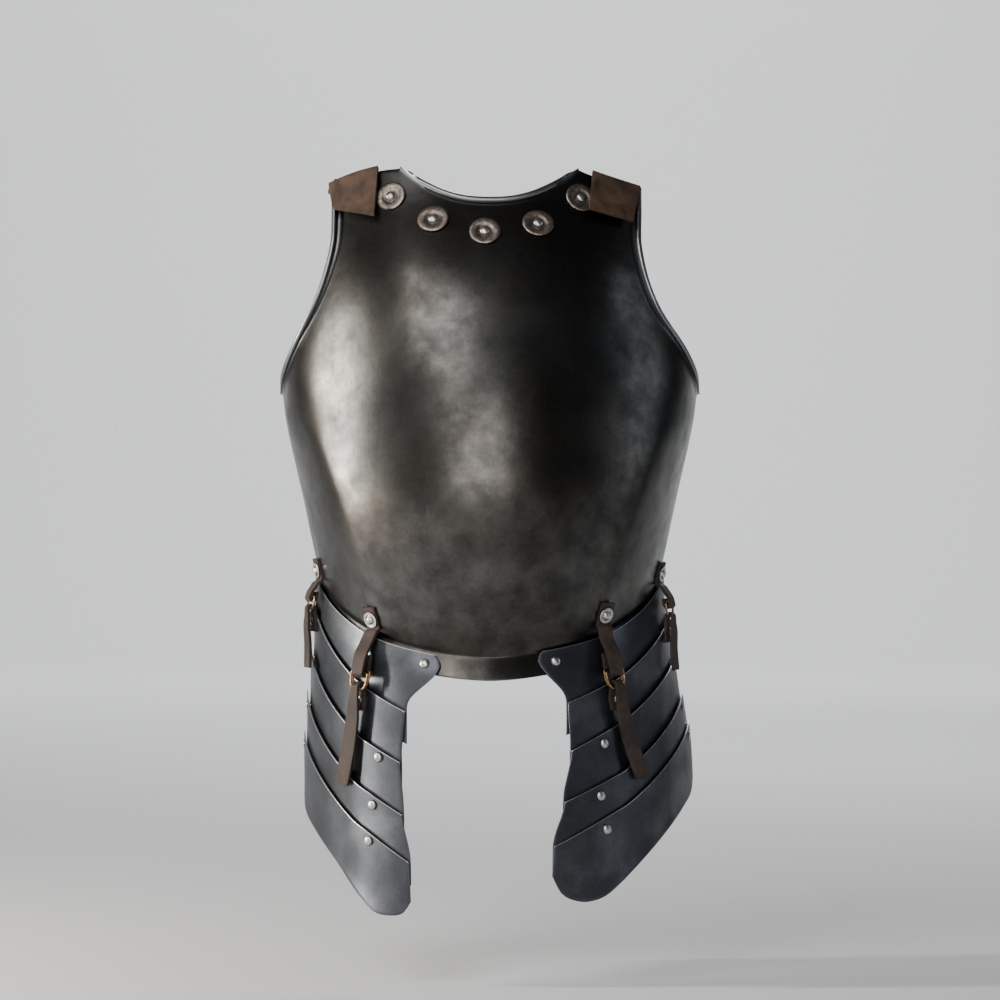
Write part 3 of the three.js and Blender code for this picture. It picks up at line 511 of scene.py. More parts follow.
def edgeHeight(row, turn):   # a curve through the three heights of a top edge
    a, b, c = lame["frontTurn"], lame["middleTurn"], lame["sideTurn"]
    front = (turn - b) * (turn - c) / ((a - b) * (a - c))
    side = (turn - a) * (turn - b) / ((c - a) * (c - b))
    return row[0] * front + row[1] * (1 - front - side) + row[2] * side


def lameTop(side, number, turn):
    return edgeHeight(tassets[side]["lames"][number], turn)


def lameBottom(side, number, turn, part):
    lames = tassets[side]["lames"]
    if number == len(lames) - 1:
        return readTable(tassets[side]["tip"], turn)[0]
    overlap = lame["firstOverlap"] if number == 0 else lame["overlap"]
    rearOverlap = lame["overlap"] - lame["overlapLoss"]
    return edgeHeight(lames[number + 1], turn) - mix(overlap, rearOverlap, part * part)


@lru_cache(maxsize=None)
def innerEdge(side, number, down):
    lames = tassets[side]["lames"]
    bottomX = lames[number + 1][3] if number < len(lames) - 1 else tassets[side]["tipInnerX"]
    x = mix(lames[number][3], bottomX, smoothStep(down, 0, lame["innerBend"]))
    top = lameTop(side, number, lame["frontTurn"])
    height = mix(top, lameBottom(side, number, lame["frontTurn"], 0), down)
    return abs(acrossOnShell(tassets[side]["sign"] * x, height))


def standOff(number, part, belowTop):
    lift = (lame["firstLift"] if number == 0 else lame["lift"]) + lame["midLift"] * math.sin(math.pi * part)
    return lame["gap"] + lift * max(0, 1 - belowTop / lame["fall"]) ** lame["fallPower"]


def lamePoint(side, number, part, down, thickness=0):
    inner = innerEdge(side, number, down)
    if number == 0:   # rounds the nose over the tip rivet
        inner += lame["noseRound"] * max(0, 1 - down / lame["noseShare"]) ** lame["nosePower"]
    across = mix(inner, outerAcross, part)
    turn = turnAt(across)
    top = lameTop(side, number, turn)
    belowTop = (top - lameBottom(side, number, turn, part)) * down
    off = standOff(number, part, belowTop) + thickness
    return skirtPoint(tassets[side]["sign"] * across, top - belowTop, off)


def placeOnLame(side, number, across, height):
    turn = turnAt(across)
    top = lameTop(side, number, turn)
    part, down = 0.5, 0.2
    for _ in range(8):
        down = (top - height) / (top - lameBottom(side, number, turn, part))
        inner = innerEdge(side, number, down)
        part = (across - inner) / (outerAcross - inner)
    point = lamePoint(side, number, part, down, lame["thickness"])
    sideways = lamePoint(side, number, part + 0.02, down) - lamePoint(side, number, part - 0.02, down)
    up = lamePoint(side, number, part, down - 0.05) - lamePoint(side, number, part, down + 0.05)
    return point, (sideways * tassets[side]["sign"]).cross(up).normalized()


def makeLame(side, number):
    rows, columns = lame["rows"], lame["columns"]
    downs = [1 - j / rows for j in range(rows)] + [lame["edgeShare"], 0]
    points = [[lamePoint(side, number, i / columns, down) for i in range(columns + 1)] for down in downs]
    if side == "left":
        points = [row[::-1] for row in points]
    piece = gridSheet(f"{side}Lame{number + 1}", points)
    wearAndHighlight = piece.data.attributes.new("wearAndHighlight", "FLOAT", "POINT")   # the top edge is coloured bright: a painted highlight along its bevel
    for n in range(len(piece.data.vertices) - columns - 1, len(piece.data.vertices)):
        wearAndHighlight.data[n].value = 1
    addModifier(piece, "SOLIDIFY", thickness=lame["thickness"] * mm, offset=1)
    bevelEdges(piece, lame["edge"], 2)
    smoothByAngle(piece, 40)
    return piece


# turned pieces: rivets, washers and rosettes
rivet = {"radius": 4.2, "height": 2.6, "shank": 1.4, "peenRadius": 3.2, "peenHeight": 1, "peenGap": 1.3,
         "hole": 1.95, "sides": 32, "foot": 0.97, "rim": 0.12}
peenForm = [(0.7, 0.95), (0.95, 0.5)]   # the hammered end: share of its radius, share of its height
rearRivet = {"radius": 3.4, "height": 0.9, "across": 0.953, "belowEdge": 7}
washer = {"radius": 7, "thickness": 1}
rosette = {"radius": 13.4, "rim": 1.7, "dishTop": 7.4, "dishBottom": 5.8, "dish": 0.6, "lift": 0.9,
           "flutes": 60, "flute": 0.13, "sidesPerFlute": 4, "domeGap": 0.35, "turn": 0.7}
# name, x, height
rosettePlaces = [("left_end", -84, -28), ("left", -47.5, -49), ("middle", -3.8, -60), ("right", 41, -53),
                 ("right_end", 77.5, -29.5)]


def spun(name, profile, sides):   # one point is extruded along the profile and spun about Z
    deselectAll()
    bpy.ops.mesh.primitive_plane_add(size=1)
    piece = bpy.context.object
    piece.name = name
    bpy.ops.object.mode_set(mode="EDIT")
    shape = bmesh.from_edit_mesh(piece.data)
    bmesh.ops.delete(shape, geom=list(shape.verts)[1:], context="VERTS")
    shape.verts.ensure_lookup_table()
    shape.verts[0].co = (profile[0][0] * mm, 0, profile[0][1] * mm)
    bmesh.update_edit_mesh(piece.data)
    bpy.ops.mesh.select_mode(type="VERT")
    bpy.ops.mesh.select_all(action="SELECT")
    for (r0, z0), (r1, z1) in zip(profile, profile[1:]):
        step = ((r1 - r0) * mm, 0, (z1 - z0) * mm)
        bpy.ops.mesh.extrude_region_move(TRANSFORM_OT_translate={"value": step})
    bpy.ops.mesh.select_all(action="SELECT")
    bpy.ops.mesh.spin(steps=sides, angle=2 * math.pi, center=(0, 0, 0), axis=(0, 0, 1))
    bpy.ops.mesh.select_all(action="SELECT")
    bpy.ops.mesh.remove_doubles(threshold=0.01 * mm)
    bpy.ops.mesh.normals_make_consistent(inside=False)
    bpy.ops.object.mode_set(mode="OBJECT")
    smoothByAngle(piece, 40)
    return piece


def placed(piece, place, lift, turn=0):   # stands a piece that was made on +Z on a place, turned about it
    point, normal = place[:2]
    level = Vector((0, 0, 1)).cross(normal).normalized()
    axes = Matrix((level, normal.cross(level), normal)).transposed().to_4x4()
    stand = Matrix.Translation((point + normal * lift) * mm)
    piece.data.transform(stand @ axes @ Matrix.Rotation(turn, 4, "Z"))
    return piece


def domeArc(radius, base, height, steps=7):
    return [(radius * math.cos(math.pi / 2 * k / steps), base + height * math.sin(math.pi / 2 * k / steps))
            for k in range(steps)] + [(0, base + height)]


def shankProfile(depth):
    peen, height = rivet["peenRadius"], rivet["peenHeight"]
    return [(0, -depth - height), *((peen * r, -depth - height * z) for r, z in peenForm),
            (peen, -depth), (rivet["shank"], -depth), (rivet["shank"], 0)]


def domedRivet(name, depth, head=rivet):
    radius, height, rim = head["radius"], head["height"], rivet["rim"]
    profile = shankProfile(depth) + [(radius * rivet["foot"], 0)]
    return spun(name, profile + domeArc(radius, height * rim, height * (1 - rim)), rivet["sides"])


def flangedRivet(name, depth):   # a bright flat washer, a dark groove, and the dome
    rim, top, dome = washer["radius"], washer["thickness"], rivet["radius"]
    profile = shankProfile(depth) + [
        (rim - 0.25, 0), (rim, 0.25), (rim, top - 0.3), (rim - 0.3, top), (rim - 2.1, top + 0.1),
        (rim - 2.5, top - 0.15), (dome + 0.1, top - 0.75),
    ]
    return spun(name, profile + domeArc(dome - 0.25, top - 0.6, rivet["height"] + 0.5), rivet["sides"])


def rosetteRing(name):
    r, rim, dish = rosette["radius"], rosette["rim"], rosette["dish"]
    slopeTop, slopeFoot = rosette["dishTop"], rosette["dishBottom"]
    profile = [
        (rivet["hole"], 0), (r - 0.5, 0), (r, 0.45), (r - 0.1, rim * 0.62), (r - 0.75, rim * 0.92),
        (r - 1.6, rim), (r - 2.9, rim * 1.02), (slopeTop + 0.9, rim * 0.98), (slopeTop, rim * 0.85),
        (slopeFoot + 0.4, dish * 1.1), (slopeFoot - 0.7, dish), (rivet["hole"], dish), (rivet["hole"], 0),
    ]
    piece = spun(name, profile, rosette["flutes"] * rosette["sidesPerFlute"])
    for vertex in piece.data.vertices:   # fine flutes milled from the dish to the rim
        radius = vertex.co.xy.length / mm
        if slopeTop < radius < r and vertex.co.z > rim * 0.8 * mm:
            wave = math.cos(rosette["flutes"] * math.atan2(vertex.co.y, vertex.co.x))
            vertex.co.z -= rosette["flute"] * (0.5 + 0.5 * wave) * mm
    return piece


# straps and D-rings; rest, overEdge, aboveRivet, onLame, endRest and back are distances off the shell,
# and bend, throat, waisted and tailWaist are shares of the width
strap = {
    "width": 14, "thickness": 2.5, "bend": 0.9, "throat": 0.56, "waisted": 0.8, "tailWaist": 0.75,
    "rest": 1.9, "overEdge": 7.2, "aboveRivet": 7.6, "onLame": 6.8, "endRest": 6.2, "back": 8.1,
    "aboveWasher": 9.5, "belowWasher": 7.5, "edgeDrop": 12, "belowRivet": 9, "rivetGap": 0.7,
    "tailStart": 0.12, "tailSink": 0.6, "steps": 5, "edge": 0.55,
}
# share of the way down from the rings, distance off the shell, share of the width
tailPath = [(1, 10.2, 1), (0.93, 10.3, 1.1), (0.6, 11.2, 1.1), (0.3, 13, 0.95)]
ring = {"halfWidth": 9.5, "wire": 1, "corner": 2.5, "play": 0.5, "sit": 1.4, "stagger": 1.5,
        "torus": 10, "barPower": 6, "arcPower": 3}
# name, side, place across at the washer, the ring bar and the tail, rings, ring depth, then the heights of
# the washer, the ring bar, the lower rivet and the tail's end, and how far the leather runs up behind
strapSets = [
    ("left_front", "left", 0.55, 0.53, 0.635, 2, 15, -387, -431.5, -455.5, -528, 14),
    ("right_front", "right", 0.51, 0.485, 0.65, 2, 15, -383, -430, -455, -523, 14),
    ("left_side", "left", 0.905, 0.905, 0.905, 1, 11, -347, -371, -391.5, -432, 5),
    ("right_side", "right", 0.905, 0.905, 0.905, 1, 12, -350, -377, -401, -434, 5),
]


class StrapSet:   # one strap with its rings: where it lies and which way it faces
    def __init__(self, row):
        (self.name, self.side, self.washerAcross, self.barAcross, self.tailAcross, self.rings, self.ringDepth,
         self.washer, self.bar, self.rivet, self.tail, self.backLength) = row
        self.sign = tassets[self.side]["sign"]
        self.sideways = placeOnShell(self.across(self.bar), self.bar)[2]
        self.outward = Vector((self.sideways.y, -self.sideways.x, 0))
        held = self.rings * 2 * ring["wire"] + (self.rings + 1) * ring["play"] + strap["thickness"]
        self.radius = held / 2
        self.arc = self.bar + 1.5 * ring["wire"] - self.ringDepth

    def across(self, height):
        if height > self.bar:
            part = (height - self.washer) / (self.bar - self.washer)
            return self.sign * mix(self.washerAcross, self.barAcross, part)
        part = (height - self.bar) / (self.tail - self.bar)
        return self.sign * mix(self.barAcross, self.tailAcross, part)

    def point(self, height, off):
        return shellPoint(self.across(height), height) + self.outward * off

    def place(self, height, off, point):
        along = self.point(height + 1, off) - self.point(height - 1, off)
        return point, self.sideways.cross(along).normalized()


def foldPath(height, off, radius, opensUp, narrow):   # half a turn of leather round the rings
    path = []
    for k in range(7):
        angle = math.pi * k / 6
        drop = radius * math.sin(angle) * (-1 if opensUp else 1)
        path.append((height + drop, off + radius * math.cos(angle), narrow))
    return path


def upperPath(s):
    front = strap["back"] + 2 * s.radius
    edge = s.washer - strap["edgeDrop"]
    slack = [(mix(edge, s.bar, t), mix(strap["overEdge"], front, math.sin(t * math.pi / 2)), 1)
             for t in (0.25, 0.6)]
    return [
        (s.washer + strap["aboveWasher"], strap["rest"], 1),
        (s.washer - strap["belowWasher"], strap["rest"], 1),
        (edge, strap["overEdge"], 1), *slack,
        *foldPath(s.bar, strap["back"] + s.radius, s.radius, True, strap["bend"]),
        (s.bar + s.backLength, strap["back"], 1),
    ]


def lowerPath(s):
    front = strap["back"] + 2 * s.radius
    tailTop = (strap["tailStart"], front - strap["tailSink"], strap["tailWaist"])
    tail = [(mix(s.arc, s.tail, down), off, narrow) for down, off, narrow in tailPath + [tailTop]]
    return [
        *tail, *foldPath(s.arc, strap["back"] + s.radius, s.radius, False, strap["throat"]),
        (mix(s.arc, s.rivet, 0.5), strap["aboveRivet"], strap["waisted"]), (s.rivet, strap["onLame"], 1),
        (s.rivet - strap["belowRivet"], strap["endRest"], 1),
    ]


def throughPoints(rows, steps):   # a finer row of values on a smooth curve through the given ones
    fine = []
    for i in range(len(rows) - 1):
        a, b, c, d = rows[max(i - 1, 0)], rows[i], rows[i + 1], rows[min(i + 2, len(rows) - 1)]
        for k in range(steps):
            t = k / steps
            fine.append(tuple(
                q + 0.5 * t * (r - p + t * (2 * p - 5 * q + 4 * r - s + t * (3 * (q - r) + s - p)))
                for p, q, r, s in zip(a, b, c, d)))
    return fine + [rows[-1]]


def leatherSheet(name, points):
    piece = gridSheet(name, points)
    measureUv(piece, points)
    addModifier(piece, "SOLIDIFY", thickness=strap["thickness"] * mm, offset=0)
    bevelEdges(piece, strap["edge"], 3)
    smoothByAngle(piece, 50)
    return piece


def makeStrap(name, s, path):
    centre = [(*s.point(height, off), narrow) for height, off, narrow in path]
    points = []
    for x, y, z, narrow in throughPoints(centre, strap["steps"]):
        half = strap["width"] / 2 * narrow
        points.append([Vector((x, y, z)) + s.sideways * half * k for k in (-1, -0.6, -0.2, 0.2, 0.6, 1)])
    return leatherSheet(name, points)


def makeRing(name, s, number):   # a torus drawn out to a D: a nearly straight bar and a full arc
    deselectAll()
    bpy.ops.mesh.primitive_torus_add(major_segments=72, minor_segments=12,
                                     major_radius=ring["torus"] * mm, minor_radius=ring["wire"] * mm)
    piece = bpy.context.object
    piece.name = name

    def line(angle):
        above = math.sin(angle) > 0
        power = 2 / (ring["barPower"] if above else ring["arcPower"])
        c, d = math.cos(angle), math.sin(angle)
        x = ring["halfWidth"] * math.copysign(abs(c) ** power, c)
        y = (ring["corner"] if above else -(s.ringDepth - ring["corner"])) * abs(d) ** power
        return Vector((x, y, 0))

    for vertex in piece.data.vertices:
        angle = math.atan2(vertex.co.y, vertex.co.x)
        out = vertex.co.xy.length / mm - ring["torus"]
        along = (line(angle + 0.004) - line(angle - 0.004)).normalized()
        outward = Vector((along.y, -along.x, 0))
        vertex.co = (line(angle) + outward * out + Vector((0, 0, vertex.co.z / mm))) * mm
    off = strap["back"] + s.radius + (number - (s.rings - 1) / 2) * (2 * ring["wire"] + ring["play"])
    barHeight = s.bar + ring["wire"] * (ring["sit"] - ring["stagger"] * number)
    top, bottom = s.point(barHeight, off), s.point(barHeight - s.ringDepth, off)
    up = (top - bottom).normalized()
    sideways = (s.sideways - up * s.sideways.dot(up)).normalized()
    axes = Matrix((sideways, up, sideways.cross(up))).transposed().to_4x4()
    piece.data.transform(Matrix.Translation((top - up * ring["corner"]) * mm) @ axes)
    smoothByAngle(piece, 60)
    return piece


# side, rosette, lift of the outer edge, then for the inner edge and the outer edge: x of the tongue behind
# the plate, x at the top, x at the end and height of the end
shoulderStraps = [
    ("left", "left_end", 3, (70, 95.5, 98, -45), (120, 138, 134, -37.5)),
    ("right", "right_end", 0.5, (64, 88, 84.5, -39.5), (114, 129, 122, -49)),
]
tongueRest = 3.4   # how far behind the plate's face the tongue lies
flapStart = 2      # how far in front of it the free flap begins
# share of the tongue, depth below the plate's edge, share of the front flap, distance off the plate
shoulderPath = [
    (1, 34, 0, -tongueRest), (1, 24, 0, -tongueRest), (1, 13, 0, -tongueRest), (0, 5, 0, -tongueRest),
    (0, -1.6, 0, -2.9), (0, -3.4, 0, -0.6), (0, -3.4, 0, 2.4), (0, -1.6, 0, 4.8),
    (0, 0, 0.3, 6.4), (0, 0, 0.65, 7.6), (0, 0, 1, 8.6),
]


def offPlate(sign, x, height, off):   # the point off the plate that is seen from the front at x and height
    baseX, baseHeight = x, height
    for _ in range(5):
        point = placeOnShell(sign * acrossAtX(baseX, baseHeight), baseHeight, off)[0]
        baseX += x - abs(point.x)
        baseHeight += height - point.z
    return point


def makeShoulderStrap(side, outerLift, inner, outer):
    sign, columns = tassets[side]["sign"], 6
    rows = []
    for tongue, below, front, off in shoulderPath:
        row = []
        for i in range(columns + 1):
            part = i / columns
            innerX, outerX = (mix(mix(edge[1], edge[2], front), edge[0], tongue) for edge in (inner, outer))
            x = mix(innerX, outerX, part)
            height = mix(shoulderHeight(side, x) - below, mix(inner[3], outer[3], part), front)
            lift = outerLift * part * part if off > flapStart else 0
            row.append(offPlate(sign, x, height, off + lift))
        rows.append(row if side == "right" else row[::-1])
    fine = list(zip(*[throughPoints([tuple(p) for p in column], 4) for column in zip(*rows)]))
    return leatherSheet(f"{side}ShoulderStrap", [[Vector(p) for p in row] for row in fine])


def linear(hexColour):   # sRGB hex to linear
    values = [int(hexColour[k:k + 2], 16) / 255 for k in (1, 3, 5)]
    return tuple(v / 12.92 if v <= 0.04045 else ((v + 0.055) / 1.055) ** 2.4 for v in values) + (1,)


def addNode(tree, kind, settings=None, links=None):
    node = tree.nodes.new("ShaderNode" + kind)
    for name, value in (settings or {}).items():
        setattr(node, name, value)
    for socket, value in (links or {}).items():
        if isinstance(value, bpy.types.NodeSocket):
            tree.links.new(value, node.inputs[socket])
        else:
            node.inputs[socket].default_value = value
    return node


def newMaterial(name, **settings):
    material = bpy.data.materials.new(name)
    material.use_nodes = True
    shader = material.node_tree.nodes["Principled BSDF"]
    for socket, value in settings.items():
        shader.inputs[socket.replace("_", " ")].default_value = value
    return material, material.node_tree, shader


def ramp(tree, source, stops):   # stops: (position, value or hex colour)
    node = addNode(tree, "ValToRGB", None, {"Fac": source})
    elements = node.color_ramp.elements
    while len(elements) < len(stops):
        elements.new(0.5)
    for element, (position, value) in zip(elements, stops):
        element.position = position
        element.color = linear(value) if isinstance(value, str) else (value, value, value, 1)
    return node.outputs["Color"]


def perMetre(millimetres):   # the scale of a pattern whose features are this far apart
    return 1 / (millimetres * mm)


def cloud(tree, place, size, detail=4, roughness=0.55, distortion=0.0):
    return addNode(tree, "TexNoise", None, {
        "Vector": place, "Scale": perMetre(size), "Detail": detail, "Roughness": roughness,
        "Distortion": distortion}).outputs["Fac"]


def blend(tree, factor, a, b, mode="MIX"):
    node = addNode(tree, "Mix", {"data_type": "RGBA", "blend_type": mode})
    for socket, value in ((0, factor), (6, a), (7, b)):
        if isinstance(value, bpy.types.NodeSocket):
            tree.links.new(value, node.inputs[socket])
        else:
            node.inputs[socket].default_value = value
    return node.outputs[2]


def bump(tree, height, strength, distance, normal=None):
    links = {"Height": height, "Strength": strength, "Distance": distance * mm}
    if normal:
        links["Normal"] = normal
    return addNode(tree, "Bump", None, links).outputs["Normal"]


def blackenedSteel():   # raised by hammer, blackened and rubbed back: cloudy, satin, with faint rust and blue
    material, tree, shader = newMaterial("blackenedSteel", Metallic=1.0)
    place = addNode(tree, "TexCoord").outputs["Object"]
    clouds = cloud(tree, place, 78, 4, 0.5, 0.25)
    blotches = cloud(tree, place, 21, 4, 0.55, 0.15)
    tints = cloud(tree, place, 110, 2, 0.5)
    grain = cloud(tree, place, 2.6, 4, 0.7)
    base = ramp(tree, clouds, [(0.3, "#474645"), (0.5, "#565553"), (0.7, "#6b6966")])
    patches = ramp(tree, blotches, [(0.32, "#b4b4b5"), (0.5, "#dededd"), (0.68, "#ffffff")])
    colour = blend(tree, 0.9, base, patches, "MULTIPLY")
    tint = ramp(tree, tints, [(0.4, "#fffaf5"), (0.5, "#ffffff"), (0.6, "#f6fbff")])
    colour = blend(tree, 0.9, colour, tint, "MULTIPLY")
    fine = ramp(tree, grain, [(0.25, "#cfcfce"), (0.7, "#ffffff")])
    colour = blend(tree, 0.7, colour, fine, "MULTIPLY")
    wearAndHighlight = addNode(tree, "Attribute", {"attribute_name": "wearAndHighlight"}).outputs["Fac"]
    # the marked rolls take a lighter, bluish grey: wear, with a painted highlight along the bead
    tree.links.new(blend(tree, wearAndHighlight, colour, linear("#808184")), shader.inputs["Base Color"])
    rough = ramp(tree, blotches, [(0.3, 0.38), (0.7, 0.28)])
    tree.links.new(rough, shader.inputs["Roughness"])
    dents = bump(tree, cloud(tree, place, 13, 2, 0.5), 0.3, 0.4)
    tree.links.new(bump(tree, grain, 0.2, 0.12, dents), shader.inputs["Normal"])
    return material


def lameSteel():   # rolled sheet, blued and brushed: smoother and cooler than the plate
    material, tree, shader = newMaterial("bluedLameSteel", Metallic=1.0)
    place = addNode(tree, "TexCoord").outputs["Object"]
    clouds = cloud(tree, place, 42, 4, 0.5, 0.2)
    grain = cloud(tree, place, 2.4, 3, 0.7)
    base = ramp(tree, clouds, [(0.32, "#43454a"), (0.52, "#53565b"), (0.7, "#686b70")])
    fine = ramp(tree, grain, [(0.3, "#cfd0d2"), (0.7, "#ffffff")])
    colour = blend(tree, 0.5, base, fine, "MULTIPLY")
    wearAndHighlight = addNode(tree, "Attribute", {"attribute_name": "wearAndHighlight"}).outputs["Fac"]
    # painted highlight: the marked top edge of each lame is coloured a bright grey
    tree.links.new(blend(tree, wearAndHighlight, colour, linear("#d2d4d6")), shader.inputs["Base Color"])
    tree.links.new(ramp(tree, clouds, [(0.3, 0.45), (0.7, 0.37)]), shader.inputs["Roughness"])
    tree.links.new(bump(tree, grain, 0.1, 0.08), shader.inputs["Normal"])
    return material


def strapLeather(name, dark, middle, light):   # waxed brown strap leather, rubbed and cracked
    material, tree, shader = newMaterial(name)
    shader.inputs["Specular IOR Level"].default_value = 0.35
    place = addNode(tree, "TexCoord").outputs["Object"]
    stains = cloud(tree, place, 17, 4, 0.6, 0.4)
    pores = addNode(tree, "TexVoronoi", {"feature": "DISTANCE_TO_EDGE"}, {
        "Vector": place, "Scale": perMetre(1.1)}).outputs["Distance"]
    grain = cloud(tree, place, 0.9, 4, 0.65)
    base = ramp(tree, stains, [(0.3, dark), (0.52, middle), (0.75, light)])
    fine = ramp(tree, grain, [(0.25, "#a8a09a"), (0.65, "#ffffff")])
    tree.links.new(blend(tree, 0.7, base, fine, "MULTIPLY"), shader.inputs["Base Color"])
    tree.links.new(ramp(tree, stains, [(0.3, 0.62), (0.7, 0.78)]), shader.inputs["Roughness"])
    tree.links.new(bump(tree, pores, 0.35, 0.15, bump(tree, grain, 0.3, 0.12)), shader.inputs["Normal"])
    return material


def milledSteel():   # face-milled, dulled steel with a warm cast
    material, tree, shader = newMaterial("milledSteel", Metallic=1.0)
    place = addNode(tree, "TexCoord").outputs["Object"]
    spots = cloud(tree, place, 3.5, 4, 0.7)
    base = ramp(tree, spots, [(0.3, "#4f4844"), (0.5, "#81776f"), (0.72, "#b0a49a")])
    tree.links.new(base, shader.inputs["Base Color"])
    tree.links.new(ramp(tree, spots, [(0.3, 0.5), (0.7, 0.34)]), shader.inputs["Roughness"])
    tree.links.new(bump(tree, spots, 0.25, 0.15), shader.inputs["Normal"])
    return material


def domeSteel():   # polished rivet heads, a little tarnished
    material, tree, shader = newMaterial("polishedRivetSteel", Metallic=1.0)
    place = addNode(tree, "TexCoord").outputs["Object"]
    spots = cloud(tree, place, 2.2, 3, 0.6)
    tree.links.new(ramp(tree, spots, [(0.3, "#9b9894"), (0.65, "#d8d6d2")]), shader.inputs["Base Color"])
    tree.links.new(ramp(tree, spots, [(0.3, 0.42), (0.7, 0.27)]), shader.inputs["Roughness"])
    tree.links.new(bump(tree, spots, 0.12, 0.08), shader.inputs["Normal"])
    return material


def ringBrass():   # tarnished brass wire
    material, tree, shader = newMaterial("tarnishedBrass", Metallic=1.0)
    place = addNode(tree, "TexCoord").outputs["Object"]
    spots = cloud(tree, place, 2.5, 3, 0.6)
    tree.links.new(ramp(tree, spots, [(0.3, "#6b4c30"), (0.68, "#b9966a")]), shader.inputs["Base Color"])
    tree.links.new(ramp(tree, spots, [(0.3, 0.46), (0.7, 0.28)]), shader.inputs["Roughness"])
    return material


plateFinish = blackenedSteel()
lameFinish = lameSteel()
strapFinish = strapLeather("brownStrapLeather", "#221c18", "#382d26", "#4e4037")
flapFinish = strapLeather("brownShoulderLeather", "#2e231c", "#493729", "#5e4736")
rosetteFinish = milledSteel()
rivetFinish = domeSteel()
ringFinish = ringBrass()
print("materials made")


finishPiece(makeBreastplate(), plateFinish, "blackened_plate_steel", "breastplate")
print("breastplate made")

strappedRosettes = [row[1] for row in shoulderStraps]
for number, (name, x, height) in enumerate(rosettePlaces):
    place = placeOnShell(math.copysign(acrossAtX(abs(x), height), x), height)
    behind = tongueRest + strap["thickness"] / 2 if name in strappedRosettes else plate["thickness"]
    stand = rosette["lift"] + rosette["dish"] + rosette["domeGap"]
    piece = placed(rosetteRing(f"rosette_{name}_ring"), place, rosette["lift"], rosette["turn"] * number)
    finishPiece(piece, rosetteFinish, "milled_steel", f"rosette_{name}")
    head = placed(domedRivet(f"rosette_{name}_dome", stand + behind + rivet["peenGap"]), place, stand)
    finishPiece(head, rivetFinish, "domed_rivet_steel", f"rosette_rivet_{name}")
for side, rosetteName, outerLift, inner, outer in shoulderStraps:
    piece = makeShoulderStrap(side, outerLift, inner, outer)
    finishPiece(piece, flapFinish, "brown_leather", f"{side}_shoulder_strap")
print("rosettes and shoulder straps made")

# lame on top, place across, height
frontRivets = {
    "left": [(1, 0.21, -424), (3, 0.39, -503), (4, 0.41, -543), (5, 0.42, -573)],
    "right": [(1, 0.22, -422), (3, 0.41, -491.5), (4, 0.37, -535), (5, 0.39, -563)],
}


def lameBehind(side, number, across, height):
    point, normal = placeOnLame(side, number - 1, across, height)
    return point - normal * lame["thickness"]


for side, tasset in tassets.items():
    for number in range(len(tasset["lames"])):
        finishPiece(makeLame(side, number), lameFinish, "lame_steel", f"{side}_tasset_lame_{number + 1}")
    joints = [(count, across, height, rivet, "tip_rivet" if count == 1 else f"lame_rivet_{count}")
              for count, across, height in frontRivets[side]]
    for count in (3, 4, 5):
        across = rearRivet["across"]
        height = edgeHeight(tasset["lames"][count - 1], turnAt(across)) - rearRivet["belowEdge"]
        joints.append((count, across, height, rearRivet, f"rear_lame_rivet_{count}"))
    for count, across, height, head, node in joints:
        place = placeOnLame(side, count - 1, across, height)
        if count == 1:
            behind = placeOnShell(tasset["sign"] * across, height, -plate["thickness"])[0]
        else:
            behind = lameBehind(side, count - 1, across, height)
        depth = lame["gap"] + (place[0] - behind).dot(place[1]) + rivet["peenGap"]
        piece = placed(domedRivet(f"{side}_{node}_head", depth, head), place, lame["gap"])
        finishPiece(piece, rivetFinish, "domed_rivet_steel", f"{side}_{node}")
print("tassets made")

for row in strapSets:
    s = StrapSet(row)
    top = s.place(s.washer, strap["rest"], s.point(s.washer, 0))
    face = (s.point(s.washer, strap["rest"]) - top[0]).dot(top[1]) + strap["thickness"] / 2
    finishPiece(makeStrap(f"{s.name}_upperLeather", s, upperPath(s)), strapFinish, "brown_leather",
                f"{s.name}_upper_strap")
    head = flangedRivet(f"{s.name}_washerHead", face + lame["gap"] + plate["thickness"] + rivet["peenGap"])
    finishPiece(placed(head, top, face + lame["gap"]), rivetFinish, "domed_rivet_steel",
                f"{s.name}_strap_rivet")
    across = abs(s.across(s.rivet))
    low = s.place(s.rivet, strap["onLame"], placeOnLame(s.side, 1, across, s.rivet)[0])
    face = (s.point(s.rivet, strap["onLame"]) - low[0]).dot(low[1]) + strap["thickness"] / 2
    behind = (low[0] - lameBehind(s.side, 1, across, s.rivet)).dot(low[1])
    finishPiece(makeStrap(f"{s.name}_lowerLeather", s, lowerPath(s)), strapFinish, "brown_leather",
                f"{s.name}_lower_strap")
    depth = face + behind + strap["rivetGap"] + rivet["peenGap"]
    head = domedRivet(f"{s.name}_lowerHead", depth, rearRivet)
    finishPiece(placed(head, low, face + strap["rivetGap"]), rivetFinish, "domed_rivet_steel",
                f"{s.name}_lower_rivet")
    for number in range(s.rings):
        piece = makeRing(f"{s.name}_wireRing_{number + 1}", s, number)
        finishPiece(piece, ringFinish, "ring_brass", f"{s.name}_ring_{number + 1}")
print("straps and rings made")


# pale floor that curves up behind, in metres, as the lights' and the camera's places are
studio = {"floorDrop": 0.06, "floorSize": 16, "wallRadius": 1.8, "wallHeight": 7}


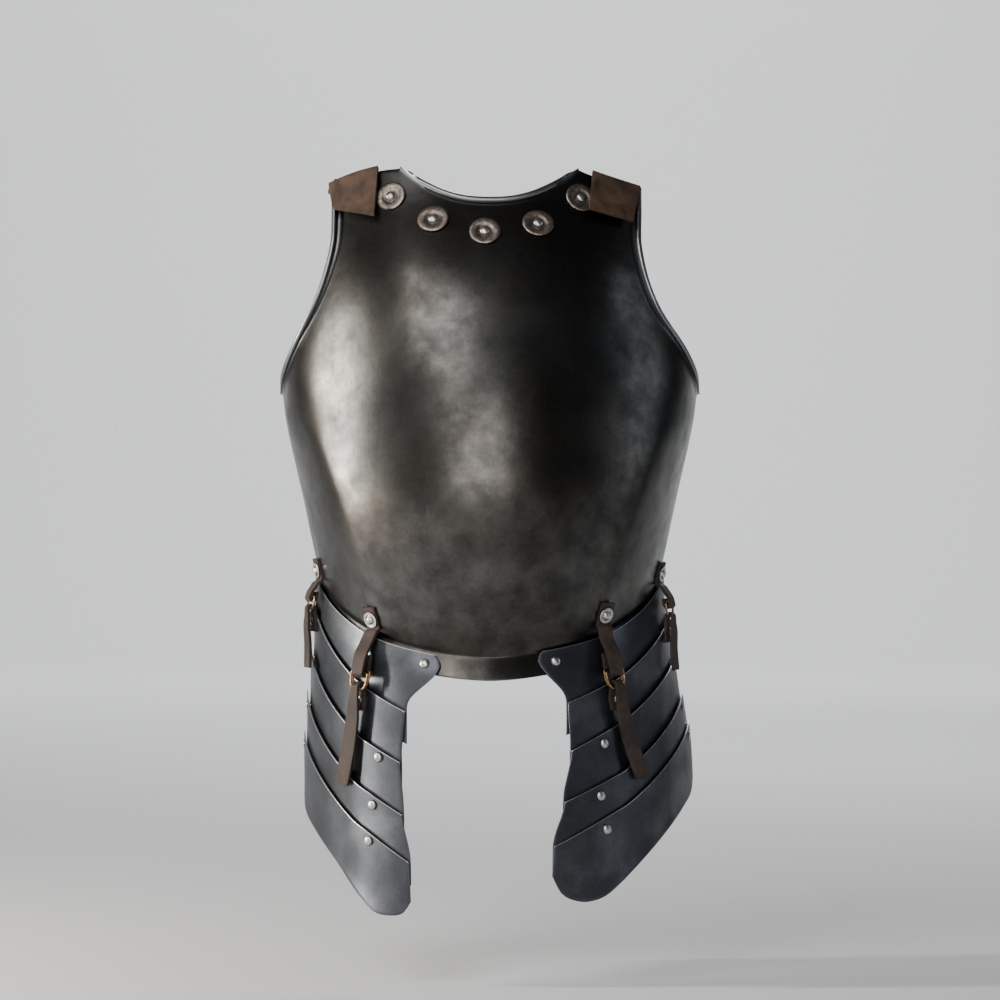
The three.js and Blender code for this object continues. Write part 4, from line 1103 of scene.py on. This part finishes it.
def makeFloor():
    floorHeight = cadBox[0][2] - studio["floorDrop"]
    deselectAll()
    bpy.ops.mesh.primitive_plane_add(size=studio["floorSize"], location=(0, 0, floorHeight))
    floor = bpy.context.object
    floor.name = "paleFloor"
    bpy.ops.object.mode_set(mode="EDIT")
    bpy.ops.mesh.select_mode(type="EDGE")
    bpy.ops.mesh.select_all(action="DESELECT")
    shape = bmesh.from_edit_mesh(floor.data)
    for edge in shape.edges:
        edge.select = all(v.co.y > studio["floorSize"] / 2 - 0.01 for v in edge.verts)
    bmesh.update_edit_mesh(floor.data)
    bpy.ops.mesh.extrude_edges_move(TRANSFORM_OT_translate={"value": (0, 0, studio["wallHeight"])})
    bpy.ops.mesh.select_all(action="SELECT")
    bpy.ops.object.mode_set(mode="OBJECT")
    addModifier(floor, "BEVEL", width=studio["wallRadius"], segments=16)
    bpy.ops.object.shade_smooth()
    material, tree, shader = newMaterial("palePaper", Roughness=0.9)
    shader.inputs["Base Color"].default_value = linear("#cfd0d2")
    floor.data.materials.append(material)


def addArea(name, location, target, size, power, colour="#ffffff"):
    deselectAll()
    bpy.ops.object.light_add(type="AREA", location=location)
    light = bpy.context.object
    light.name = name
    light.data.shape = "RECTANGLE"
    light.data.size, light.data.size_y = size
    light.data.energy = power
    light.data.color = linear(colour)[:3]
    light.rotation_euler = (Vector(target) - Vector(location)).to_track_quat("-Z", "Y").to_euler()


makeFloor()
addArea("keySoftbox", (-1.3, -2.1, 1.6), (0, -0.1, -0.15), (1.4, 1.2), 44, "#fffcf8")
addArea("frontPanel", (-0.6, -4.6, 0.3), (0, -0.1, -0.25), (3.4, 2.6), 110)
addArea("leftStrip", (-1.6, -0.22, -0.1), (0, -0.12, -0.25), (0.09, 1.0), 50, "#fff8ee")
addArea("rightFill", (1.7, -0.3, 0.1), (0, -0.1, -0.3), (0.3, 1.4), 3, "#e8f0ff")
addArea("backFill", (0.6, 2.6, 1.4), (0, 0, -0.3), (1.6, 1.2), 40)
addArea("backdropLight", (0, 4.0, 3.6), (0, 8, 0), (5, 1), 420)
world = bpy.data.worlds.new("studio")
bpy.context.scene.world = world
world.use_nodes = True
world.node_tree.nodes["Background"].inputs["Color"].default_value = linear("#7c7f84")
world.node_tree.nodes["Background"].inputs["Strength"].default_value = 0.2

camera = {"location": (0.0089, -3.3, -0.2866), "lens": 135.5}
deselectAll()
bpy.ops.object.camera_add(location=camera["location"], rotation=(math.pi / 2, 0, 0))
bpy.context.object.data.lens = camera["lens"]
bpy.context.scene.camera = bpy.context.object
deselectAll()
print("studio made")
